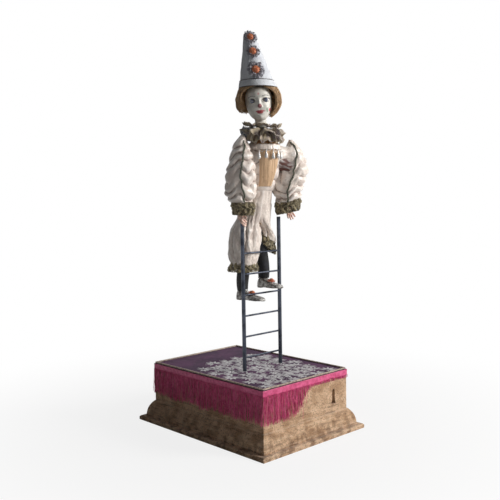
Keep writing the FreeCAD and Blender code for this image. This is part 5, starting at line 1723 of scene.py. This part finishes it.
@dataclass
class Jacket:
    """Cream satin jacket with its vest panel, yoke, strip and ruff."""

    form: Tube = Tube(((14, -20, 398, 23.5, 21), (13.5, -27, 418, 26, 23.5), (14, -31, 440, 28, 24.5),
                       (13.5, -33, 458, 28, 23.5), (12.5, -34, 472, 26, 21), (12.5, -34, 485, 14, 13)),
                      turn=23.0, seed=3.0, puffs=3.0, puff_rise=16.0, limit=-17.5)
    chest: tuple[float, float] = HEAD_AT[:2]

    def offset(self, z: Array) -> Array:
        """Sideways distance from the form's centre line to the chest line."""
        x, y = curves(self.form.sections, self.form.share(z), 0, 1)
        turn = math.radians(self.form.turn)
        return (self.chest[0] - x) * math.cos(turn) - (self.chest[1] - y) * math.sin(turn)

    def patch(self, name: str, low: tuple[float, float, float], high: tuple[float, float, float],
              proud: float, wave: float, cells: tuple[int, int], seed: float) -> Piece:
        """Panel on the front of the jacket.

        Args:
            name: the piece's name.
            low: height, left and right offset of its lower edge, in millimetres.
            high: the same of its upper edge.
            proud: distance outside the jacket.
            wave: depth of its upright gathers.
            cells: divisions across and up.
            seed: which gathers.

        Returns:
            The panel, without its wall.
        """

        def place(u: Array, v: Array) -> Array:
            """Point on the panel."""
            z = low[0] + (high[0] - low[0]) * v
            left, right = low[1] + (high[1] - low[1]) * v, low[2] + (high[2] - low[2]) * v
            side = left + (right - left) * u + self.offset(z)
            fold = roughly(np.c_[u * (right - left) * 0.22, z * 0.02, z * 0], seed, 2)
            edge = np.minimum(np.minimum(u, 1 - u) * 9, 1) ** 0.5
            base = self.form.surface(side, z, 0.0)
            out = base - self.form.surface(side, z, -1.0)
            return base + out * (proud * (0.55 + 0.45 * edge) + wave * fold)[:, None]

        return Bench.sheet(name, *cells, place)

    def body(self, cloth: Wardrobe) -> None:
        """The jacket itself, then its armhole gathers and, below the left one, a dark rust sheet that paints
        the shade there.
        """
        coat = self.form.make("jacket_satin", 150, 90)
        sewn(coat, 0.8, Cut((0.175, 0.088), "gathered", "torso_core"), cloth, "cream_satin", "cream_satin",
             Body.FIGURE, "jacket")
        left = (Body.FIGURE, Body.LEFT_ARM)
        tubes = (
            ("right_armhole", (-31, -17.2, 462), (-9.5, -17.2, 462), (13.5, 12.5, 14.5), 2.0, "cream_satin",
             (0.085, 0.0215), "shoulder_axle",
             (Body.BASE, Body.FIGURE, (-28, -17.2, 462), (-14, -17.2, 462))),
            ("left_armhole", (30, -42.5, 457), (58, -54.5, 455), (17, 14.5, 16), 6.0, "cream_satin",
             (0.098, 0.031), "left_arm_core", (*left, (36, -44.5, 456), (52, -51.8, 456))),
            # Painted shade: a dark sheet under the left armhole, where the jacket's side lies in shade.
            ("left_arm_lining", (33, -43.5, 448), (56, -53, 437), (14, 13, 14), 8.0, "lining",
             (0.079, 0.031), "left_arm_core", (*left, (36, -44.5, 448), (52, -51.8, 444))),
        )
        for name, first, second, radii, seed, finish, flat, rest, bodies in tubes:
            tube = joined_tube(name, first, second, radii, seed)
            sewn(tube, 0.8, Cut(flat, "gathered", rest), cloth, finish, "cream_satin", bodies)

    def front(self, cloth: Wardrobe) -> None:
        """Vest panel, satin strip, yoke band and the strip's edges."""
        vest = self.patch("vest_satin", (404.5, -14.5, 8.5), (467, -17, 22), 3.4, 0.7, (70, 80), 4.0)
        sewn(vest, 0.9, Cut((0.044, 0.066), "stretched", "jacket_satin", 0.00215), cloth, "tan_satin",
             "tan_satin", Body.FIGURE, "vest_panel")
        strip = self.patch("chest_strip", (464.5, -20, 23), (473, -20, 22.5), 4.4, 1.0, (90, 14), 9.0)
        sewn(strip, 0.9, Cut((0.052, 0.0105), "gathered", "vest_satin"), cloth, "cream_satin", "cream_satin",
             Body.FIGURE)
        yoke = self.patch("yoke_band", (472, -21, 22), (480.5, -15, 16), 3.6, 0.8, (80, 14), 12.0)
        sewn(yoke, 0.9, Cut((0.048, 0.0115), "stretched", "jacket_satin"), cloth, "yoke", "tan_satin",
             Body.FIGURE)
        lines = []
        for drop, out in ((464.2, 5.2), (473.4, 4.6)):
            side = np.linspace(-20, 22.5, 50)
            z = drop + 0.5 * np.sin(side * 0.7)
            lines.append(self.form.surface(side + self.offset(z), z, out))
        finished(Bench.strands("strip_edges", lines, 0.6, 1.0, 1), cloth, "braid", "cream_satin", Body.FIGURE)

    def beads(self, cloth: Wardrobe) -> None:
        """Drop beads on thread loops below the strip."""
        drops, loops = [], []
        rings = ((0.5, 0), (0.8, -0.6), (1.1, -3), (1.8, -6), (2.5, -8.4), (2.7, -9.6), (2.3, -11),
                 (1.2, -12), (0.3, -12.3))
        shape = [(r * 1.08, z * 1.15) for r, z in rings]
        for k, side in enumerate((-17.5, -6.5, 5.5, 15.0, 21.5)):
            foot = 462.8 + (1.2 if k % 2 else 0)
            across = np.array([side])
            at = self.form.surface(across + self.offset(np.array([foot])), np.array([foot]), 6.2)[0]
            drop = Bench.lathe("drop", shape, 14)
            drops.append(Bench.placed(drop, Matrix.Translation(Vector(at) * MM)))
            reach = np.linspace(side, side + 8.5, 12)
            z = foot + 1.2 - 3.0 * np.sin(np.linspace(0, math.pi, 12))
            loops.append(self.form.surface(reach + self.offset(z), z, 6.0))
        threads = Bench.strands("loops", loops, 0.35, 1.0)
        row = Bench.join("bead_drops", drops + [threads])
        finished(row, cloth, "beads", "beads", Body.FIGURE, "bead_trim")

    def ruff(self, cloth: Wardrobe) -> None:
        """Three tiers of crumpled gauze round the neck, and the bow."""
        tiers = [("ruff_lower", 498, 35.0, 11, 3.0, 18.0, 2.0, 12.5, -34, (0.190, 0.034)),
                 ("ruff_middle", 500.5, 35.0, 9, 3.4, 9.0, 7.0, 12, -33.5, (0.185, 0.030)),
                 ("ruff_upper", 504, 30, 8, 3.6, -1.0, 4.0, 11.3, -33, (0.165, 0.0245))]
        for name, z, radius, waves, rise, drop, seed, x, y, flat in tiers:
            frill = Frill(10.0, radius, waves, rise, drop, seed, 0.3, 1.0, 0.75)
            tilt = spun(5, "X") @ spun(seed * 40, "Z")
            tier = frill.make(name, Matrix.Translation(Vector((x, y, z)) * MM) @ tilt, 26, 22)
            sewn(tier, 0.6, Cut(flat, "gathered", "jacket_satin"), cloth, "gauze", "lace", Body.FIGURE,
                 "ruff")
        rows = ((205, 12, 1.0), (150, 10, 2.0), (250, 12, 3.0), (20, 9, 4.0), (300, 13, 5.0))
        loops = [self.loop(*row) for row in rows]
        finished(Bench.join("neck_bow", loops), cloth, "navy", "lace", Body.FIGURE)

    def loop(self, angle: float, length: float, seed: float) -> Piece:
        """One loop of the dark bow, at the viewer's left of the ruff's front."""
        turn = math.radians(angle)

        def place(u: Array, v: Array) -> Array:
            """Ribbon folded back on itself."""
            a = u * 2 * math.pi
            reach = length * 0.5 * (1 - np.cos(a))
            puff = np.sin(a) * length * 0.24
            wide = (v - 0.5) * (4 + 3.5 * np.sin(u * math.pi))
            crush = roughly(np.c_[reach * 0.25, wide * 0.3, puff * 0.2], seed, 2) * 1.2
            x = reach * math.cos(turn) - wide * math.sin(turn)
            return np.c_[x, reach * math.sin(turn) + wide * math.cos(turn), puff + crush + 1]

        loop = Bench.thick(Bench.sheet("loop", 36, 8, place), 0.5)
        return Bench.placed(loop, facing((-14.5, -24, 496), (-0.9, -0.42, 0.12)))

    def make(self, cloth: Wardrobe) -> None:
        """Dress the body."""
        self.body(cloth)
        self.front(cloth)
        self.beads(cloth)
        self.ruff(cloth)


@dataclass
class Arm:
    """One sleeve with its braid and cuff."""

    side: str
    body: Body
    sleeve: Tube
    braid: Sequence[tuple[float, float]]
    cuff: Sequence[Oval]
    seed: float
    sleeve_cut: tuple[float, float]
    cuff_cut: tuple[float, float]

    def satin(self, cloth: Wardrobe) -> BVHTree:
        """Crumpled sleeve; its surface before its wall is returned, for what is sewn on it."""
        low, high = self.sleeve.sections[0][2], self.sleeve.sections[-1][2]
        piece = self.sleeve.make(self.side + "_sleeve_satin", 84, 72)
        piece = Bench.crumple(piece, rim_hold(piece, low, high), 0.07, 0.5, 2.0)
        piece = Bench.round(piece)
        faces = [tuple(face.vertices) for face in piece.data.polygons]
        skin = BVHTree.FromPolygons([tuple(p) for p in Bench.points(piece)], faces)
        rest = "left_arm_core" if self.side == "left" else "arm_tube"
        sewn(piece, 0.8, Cut(self.sleeve_cut, "gathered", rest), cloth, "cream_satin", "cream_satin",
             self.body, self.side + "_sleeve")
        return skin

    def gimp(self, cloth: Wardrobe, skin: BVHTree) -> None:
        """Braid sewn down the front of the sleeve."""
        z = np.arange(self.braid[-1][0], self.braid[0][0], 0.8)
        heights, offsets = zip(*self.braid[::-1])
        side = np.interp(z, heights, offsets) + 0.6 * np.sin(z * 0.35 + self.seed)
        middle = self.sleeve.surface(side, z, 3.0)
        found = [skin.find_nearest(Vector(p) * MM) for p in middle]
        spine = np.array([(hit[0] + hit[1] * 0.7 * MM) / MM for hit in found])
        for _ in range(3):
            spine[1:-1] = (spine[:-2] + 2 * spine[1:-1] + spine[2:]) / 4
        run = np.gradient(spine, axis=0)
        run /= np.linalg.norm(run, axis=1, keepdims=True)
        out = np.array([tuple(hit[1]) for hit in found])
        across = np.cross(run, out)
        across /= np.maximum(np.linalg.norm(across, axis=1, keepdims=True), 1e-6)
        lines = []
        for k in range(4):
            t = np.arange(len(z)) * 0.95 + k * math.pi / 2
            lift = 0.45 * np.cos(2 * t) + 0.3
            lines.append(spine + across * (np.sin(t) * 1.15)[:, None] + out * lift[:, None])
        braid = Bench.strands(self.side + "_sleeve_gimp", lines, 0.5, 1.0, 1)
        finished(braid, cloth, "gimp", "cream_satin", self.body)

    def wrist(self, cloth: Wardrobe) -> None:
        """Metallic lace cuff: a gathered tube and a shorter one over it."""
        top = self.cuff[-1][2]
        over = [(x, y, (z - top) * 0.55 + top + 1, wide + 1.2, deep + 1.2)
                for x, y, z, wide, deep in self.cuff]
        slant = -0.2 if self.side == "left" else 0.05
        rows = ((self.cuff, 2.6, 13, 1.6, 1.0, self.seed), (over, 2.4, 11, 1.4, 1.6, self.seed + 3))
        pieces = [Tube(ovals, self.sleeve.turn, pleats, count, creases, (0.12, 0.1), proud, seed,
                       slant=slant).make("cuff_row", 180, 26)
                  for ovals, pleats, count, creases, proud, seed in rows]
        lace = Bench.join(self.side + "_cuff_lace", pieces)
        sewn(lace, 0.6, Cut(self.cuff_cut, "gathered", self.side + "_hand"), cloth, "metal_lace",
             "metal_lace", self.body, self.side + "_cuff")

    def make(self, cloth: Wardrobe) -> None:
        """Dress one arm."""
        self.gimp(cloth, self.satin(cloth))
        self.wrist(cloth)


@dataclass
class Hand:
    """Bisque hand: balls for wrist and palm and a rod for each finger that shows, melted into one."""

    side: str
    body: Body
    wrist: Sequence[Sequence[float]]
    fingers: Sequence[Sequence[tuple[float, float, float]]]
    lift: Point = (0, 0, 0)

    def make(self, cloth: Wardrobe) -> None:
        """Model the hand."""
        lift = np.array(self.lift)
        balls = [Bench.ball("palm", tuple(row[:3] + lift), row[3:], 20, 12) for row in self.wrist]
        lines = []
        for joints in self.fingers:
            bones = zip(joints[:-1], joints[1:])
            steps = [Vector(a).lerp(Vector(b), t) for a, b in bones for t in (0, 0.33, 0.66)]
            lines.append(np.array(steps + [Vector(joints[-1])]) + lift)
        rods = Bench.strands("fingers", lines, 1.95, 0.74, 3)
        tips = [Bench.ball("tip", tuple(line[-1]), (1.45, 1.45, 1.45), 12, 8) for line in lines]
        hand = Bench.join(self.side + "_bisque_hand", balls + [rods] + tips)
        hand = Bench.apply(hand, "REMESH", mode="VOXEL", voxel_size=0.42 * MM)
        hand = Bench.apply(hand, "SMOOTH", factor=0.7, iterations=5)
        finished(Bench.smooth(hand), cloth, "hand", "bisque", self.body, self.side + "_hand")


# The shoe's run from its heel, half width and height, in millimetres.
SHOE = (
    (9.4, 4.6, 12), (8.6, 7.4, 15.5), (3.6, 9.3, 17.2), (-4, 9.1, 16.8), (-11, 8.7, 14.6), (-19, 9.2, 11.8),
    (-29, 10.2, 9.6), (-38, 9.9, 8.3), (-45, 8.0, 7.2), (-49.6, 4.6, 5.6), (-50.8, 1.4, 3.8))


@dataclass
class Leg:
    """One trouser half from waist to hem, its lace, shoe and rosette."""

    side: str
    body: Body
    trouser: Tube
    hem: Tube
    ankle: tuple[float, float]
    sole: float
    tilt: float
    turn: float
    pivot: Point
    leg_cut: tuple[float, float]
    hem_cut: tuple[float, float]

    def trousers(self, cloth: Wardrobe) -> None:
        """Satin leg, gathered at the waist and over the hem."""
        piece = self.trouser.make(self.side + "_trouser_satin", 170, 120)
        nodes = (self.side + "_trouser_leg",) + (("trousers_seat",) if self.side == "right" else ())
        x, y, z = self.pivot
        sewn(piece, 0.8, Cut(self.leg_cut, "hung", self.side + "_leg"), cloth, "cream_satin", "cream_satin",
             (Body.FIGURE, self.body, (x, y, z + 9), (x, y, z - 18)), *nodes)
        lace = self.hem.make(self.side + "_hem_lace", 200, 26)
        sewn(lace, 0.6, Cut(self.hem_cut, "gathered", self.side + "_trouser_satin"), cloth, "metal_lace",
             "metal_lace", self.body)

    def shoe(self, cloth: Wardrobe) -> None:
        """Cloth shoe with a stitched edge, its sole, heel and rosette."""

        def upper(u: Array, v: Array) -> Array:
            """Shoe's skin, flat below."""
            run, wide, tall = curves(SHOE, v)
            a = (u - 0.25) * 2 * math.pi
            up = np.sin(a)
            height = np.where(up > 0, 3.2 + (tall - 3.2) * np.abs(up) ** 0.85, 3.2 + 2.0 * up)
            sideways = np.sign(np.cos(a)) * np.abs(np.cos(a)) ** 0.75 * wide
            bulge = roughly(np.c_[sideways * 0.12, run * 0.12, height * 0.12], self.sole, 3) * 0.5
            return np.c_[sideways, run, height + bulge * (up > 0)]

        skin = Bench.sheet(self.side + "_shoe_upper", 72, 60, upper, closed=True)
        heel_at = Matrix.Translation((self.ankle[0] * MM, self.ankle[1] * MM, self.sole * MM))
        frame_at = heel_at @ spun(-self.tilt, "X") @ spun(-self.turn, "Z")
        edge = np.linspace(0, 2 * math.pi, 60)
        collar = np.c_[np.sin(edge) * 8.2, 0.5 - np.cos(edge) * 9.0, 16.8 - np.cos(edge) * 1.0]
        run, wide = curves(SHOE, np.linspace(0, 1, 50), 0, 1)
        seam = np.vstack([np.c_[wide, run, run * 0 + 2.4], np.c_[-wide, run, run * 0 + 2.4][::-1]])
        trim = Bench.strands("trim", [collar, seam], 0.6, 1.0, 1)
        whole = Bench.placed(Bench.join(self.side + "_shoe_upper", [skin, trim]), frame_at)
        finished(whole, cloth, "shoe_leather", "shoe_leather", self.body, self.side + "_shoe")

        def sole(u: Array, v: Array) -> Array:
            """Thin sole with a low heel."""
            run, wide = curves(SHOE, v, 0, 1)
            wide = wide - 0.4
            a = u * 2 * math.pi
            heel = 1 / (1 + np.exp(-(run + 6) / 0.8))
            height = np.where(np.sin(a) > 0, 2.6, 1.4 - 1.4 * heel) + 0.5 * (1 - heel) * (run < -42)
            return np.c_[np.sign(np.cos(a)) * np.abs(np.cos(a)) ** 0.5 * wide, run, height]

        base = Bench.placed(Bench.sheet(self.side + "_shoe_sole", 40, 70, sole, closed=True), frame_at)
        finished(base, cloth, "shoe_sole", "shoe_leather", self.body)
        at, up = Vector((0, -23, 12.4)), Vector((0, -0.35, 1)).normalized()
        bow = rosette(at, up, 6.4, self.sole)
        heart = knot(at + up * 1.8, up, 3.2)
        bow = Bench.placed(Bench.join(self.side + "_shoe_bow", bow), frame_at)
        finished(bow, cloth, "coral", "rosette", self.body)
        finished(Bench.placed(heart, frame_at), cloth, "copper", "rosette", self.body)

    def make(self, cloth: Wardrobe) -> None:
        """Dress one leg."""
        self.trousers(cloth)
        self.shoe(cloth)


class Hardware:
    """The CAD pieces that stay, each with its finish."""

    finishes = {
        "velvet": ("front_wall", "rear_wall", "side_walls", "base_moulding"),
        "board": ("bottom_cover", "deck_board"),
        "screw_steel": ("cover_screws",),
        "gunmetal": ("left_rail", "right_rail", "rungs", "rail_fittings", "arm_tube"),
        "brass": ("front_plate", "rear_plate", "plate_pillars", "cam_bracket", "barrel_drum", "barrel_cap",
                  "second_wheel", "fly_governor", "lift_cam", "shoulder_bracket"),
        "steel": ("mainspring", "winding_arbor", "click", "camshaft", "lift_lever", "lift_rod", "stop_lever",
                  "shoulder_axle", "limb_pins"),
        "carved_wood": ("torso_core", "left_arm_core"),
        "stocking": ("right_leg", "left_leg"),
    }

    def make(self, cloth: Wardrobe) -> None:
        """Give each kept node its material."""
        for finish, nodes in self.finishes.items():
            for name in nodes:
                cloth.dress(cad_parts[name], finish)
                log.info("%s: %s", name, finish)


def sleeves() -> tuple[Tube, Tube]:
    """The right and the left sleeve, from the cuff to the shoulder."""
    right = Tube(
        ((-30.2, -26.2, 375, 14, 13), (-30.6, -25.8, 382, 18.5, 15.5), (-31.6, -24.9, 391, 23.5, 17.5),
         (-31.6, -24.8, 400, 25.6, 18), (-31.2, -25.2, 413, 25.8, 18), (-31, -25.2, 426, 24.8, 17.5),
         (-30.4, -25.7, 438, 22.5, 17), (-29.4, -25.6, 450, 18.8, 15.5), (-29, -24.6, 462, 16.6, 14.5),
         (-29, -24.4, 472, 12.6, 13.5), (-29, -26, 481, 8.5, 10.5), (-29.5, -27, 488, 2.5, 3)),
        turn=43.0, seed=7.0, puffs=3.4, ceiling=-17.0)
    left = Tube(
        ((57, -43.2, 374, 18, 13.5), (57.3, -43.5, 384, 20.5, 16), (56.6, -43.8, 397, 24.2, 18.5),
         (57.4, -44.6, 410, 26.4, 19), (60.1, -48.2, 421, 26.4, 19), (62.8, -51.7, 433, 24, 18.5),
         (63.8, -53.4, 444, 20.6, 17.5), (63.2, -53.6, 456, 17.2, 16.5), (62, -52.8, 467, 13, 14.5),
         (60.4, -51.3, 475, 8.8, 11.5), (59, -50, 482, 2.8, 3.5)),
        turn=43.0, seed=15.0, puffs=3.4)
    return right, left


def trousers() -> tuple[Breeches, Breeches]:
    """The right and the left trouser half, from hem to waist."""
    seat = ((14.8, -3, 310, 28, 25), (15, -4, 338, 28.5, 25.5), (15, -6, 355, 29, 26),
            (14.5, -12, 380, 27, 24.5), (14, -19, 398, 23.5, 22), (14, -20, 405, 20, 19))
    right = Breeches(
        ((-3.7, 1.9, 274, 20.5, 19.5), (-3.8, 2, 282, 23.5, 21.5), (-3.6, 1.8, 292, 25.8, 22.5),
         (-3, 1.2, 306, 26.6, 23), (-1.4, 0, 320, 26.8, 23.5), (-0.5, -1, 334, 26, 24),
         (1, -2, 348, 24, 24.5), (2.5, -5, 362, 20, 24), (3, -9, 382, 14.5, 23), (4.5, -15, 404, 12, 20)),
        turn=23.0, pleats=3.4, pleat_count=9, seed=5.0, seat=seat, half=-1, blend_low=330, blend_high=362)
    left = Breeches(
        ((42.5, -3, 317, 17, 18), (42.5, -3, 325, 18.6, 20), (40.5, -3.2, 335, 18.4, 21),
         (36, -4.5, 347, 17, 22), (30, -8, 360, 15.5, 22.5), (27.2, -12, 372, 15.3, 23.5),
         (26, -17, 388, 14.5, 22.5), (23.5, -23, 404, 12, 20)),
        turn=23.0, pleats=3.4, pleat_count=8, seed=9.0, slant=0.7, slant_fade=0.8, seat=seat, half=1,
        blend_low=324, blend_high=354)
    return right, left


def figure_parts() -> list[Jacket | Arm | Hand | Leg]:
    """The doll's clothes and limbs, in the order they are made."""
    right_sleeve, left_sleeve = sleeves()
    right_leg, left_leg = trousers()
    right_hem = Tube(((-4.1, 3.2, 263, 26, 23), (-4, 3, 269, 25.6, 22.5), (-3.4, 2.4, 280, 20.8, 18.6)),
                     turn=23.0, pleats=2.4, pleat_count=13, creases=1.6, crease_scale=(0.1, 0.1), seed=4.0)
    left_hem = Tube(((42.3, -3, 300, 18, 19), (42.4, -3, 309, 18, 19), (42.5, -3, 321, 16.4, 17.5)),
                    turn=23.0, pleats=2.2, pleat_count=11, creases=1.6, crease_scale=(0.1, 0.1), seed=8.0,
                    slant=0.7)
    return [
        Jacket(),
        Arm("right", Body.BASE, right_sleeve,
            braid=((479, 5), (471, 7), (456, 3), (433, -0.5), (416, -1), (394, 4.6), (380, 5.5)),
            cuff=((-30.1, -27.8, 358.5, 15.4, 13.5), (-30, -27.9, 367, 17, 14.5),
                  (-30.2, -26.8, 379.5, 14.2, 12.8)),
            seed=2.0, sleeve_cut=(0.142, 0.120), cuff_cut=(0.165, 0.034)),
        Arm("left", Body.LEFT_ARM, left_sleeve,
            braid=((479, -1), (474, 5.5), (462, 5.8), (444, 1.6), (427, 2.3), (413, 4.4), (404, 1.2),
                   (393, -0.6), (378, 0)),
            cuff=((58.6, -42.8, 360, 17.5, 14), (59, -43, 369, 20, 15.5), (58, -43.2, 381.5, 17.5, 13.5)),
            seed=5.0, sleeve_cut=(0.130, 0.112), cuff_cut=(0.160, 0.0325)),
        Hand("right", Body.BASE,
             ((-33.4, -25.9, 367, 7, 7, 7), (-34.2, -26, 359, 7.2, 6, 7.5), (-35.2, -26, 352, 6, 5.6, 6.5)),
             (((-36.5, -27, 356), (-37.4, -31.5, 350), (-32.5, -33.2, 345), (-27.2, -30.6, 343)),
              ((-37, -26.5, 352), (-38, -31.2, 345.5), (-32.8, -32.8, 340.5), (-27.4, -30, 339)),
              ((-37, -25.5, 348), (-37.6, -30.2, 341.5), (-32.8, -32.2, 336.8), (-28.2, -29.8, 336)),
              ((-35, -28.5, 360), (-33.5, -32.6, 354), (-28.6, -32, 350), (-25.8, -28.6, 347.5))),
             lift=(1, 0, 5)),
        Hand("left", Body.LEFT_ARM,
             ((61.5, -43, 365, 6.4, 6, 7), (61.5, -44, 356.5, 7.4, 5.4, 6.5), (62, -45, 351, 7.4, 4.8, 5)),
             (((57.6, -45.5, 351), (55.4, -47.5, 345), (55, -49.6, 340.6)),
              ((60.6, -46, 349.5), (59.8, -48.6, 342.5), (60.4, -50.6, 338)),
              ((63.8, -46, 349.5), (64.6, -48.8, 343), (66, -50.4, 339)),
              ((67, -45.5, 351.5), (69.6, -48, 346), (71.4, -49.4, 342.6)),
              ((56, -46, 357), (52.6, -49.4, 352.8), (51.6, -52, 349))),
             lift=(-1.5, 1, 11)),
        Leg("right", Body.RIGHT_LEG, right_leg, right_hem, ankle=(-6, 3), sole=215, tilt=0.0, turn=0.0,
            pivot=(4.5, -3, 338), leg_cut=(0.150, 0.143), hem_cut=(0.185, 0.016)),
        Leg("left", Body.LEFT_LEG, left_leg, left_hem, ankle=(36.5, -4), sole=232, tilt=1.5, turn=9.0,
            pivot=(29.5, -3, 338), leg_cut=(0.135, 0.105), hem_cut=(0.128, 0.0205)),
    ]


def main() -> None:
    """Build every part of the visual model in order."""
    logging.basicConfig(level=logging.INFO, format="%(message)s")
    Bench.clear()
    cloth = Wardrobe()
    Stage().make()
    for part in (Hardware(), Base(), Head(), *figure_parts()):
        part.make(cloth)
        log.info("%s done", type(part).__name__)


if __name__ == "__main__":
    main()
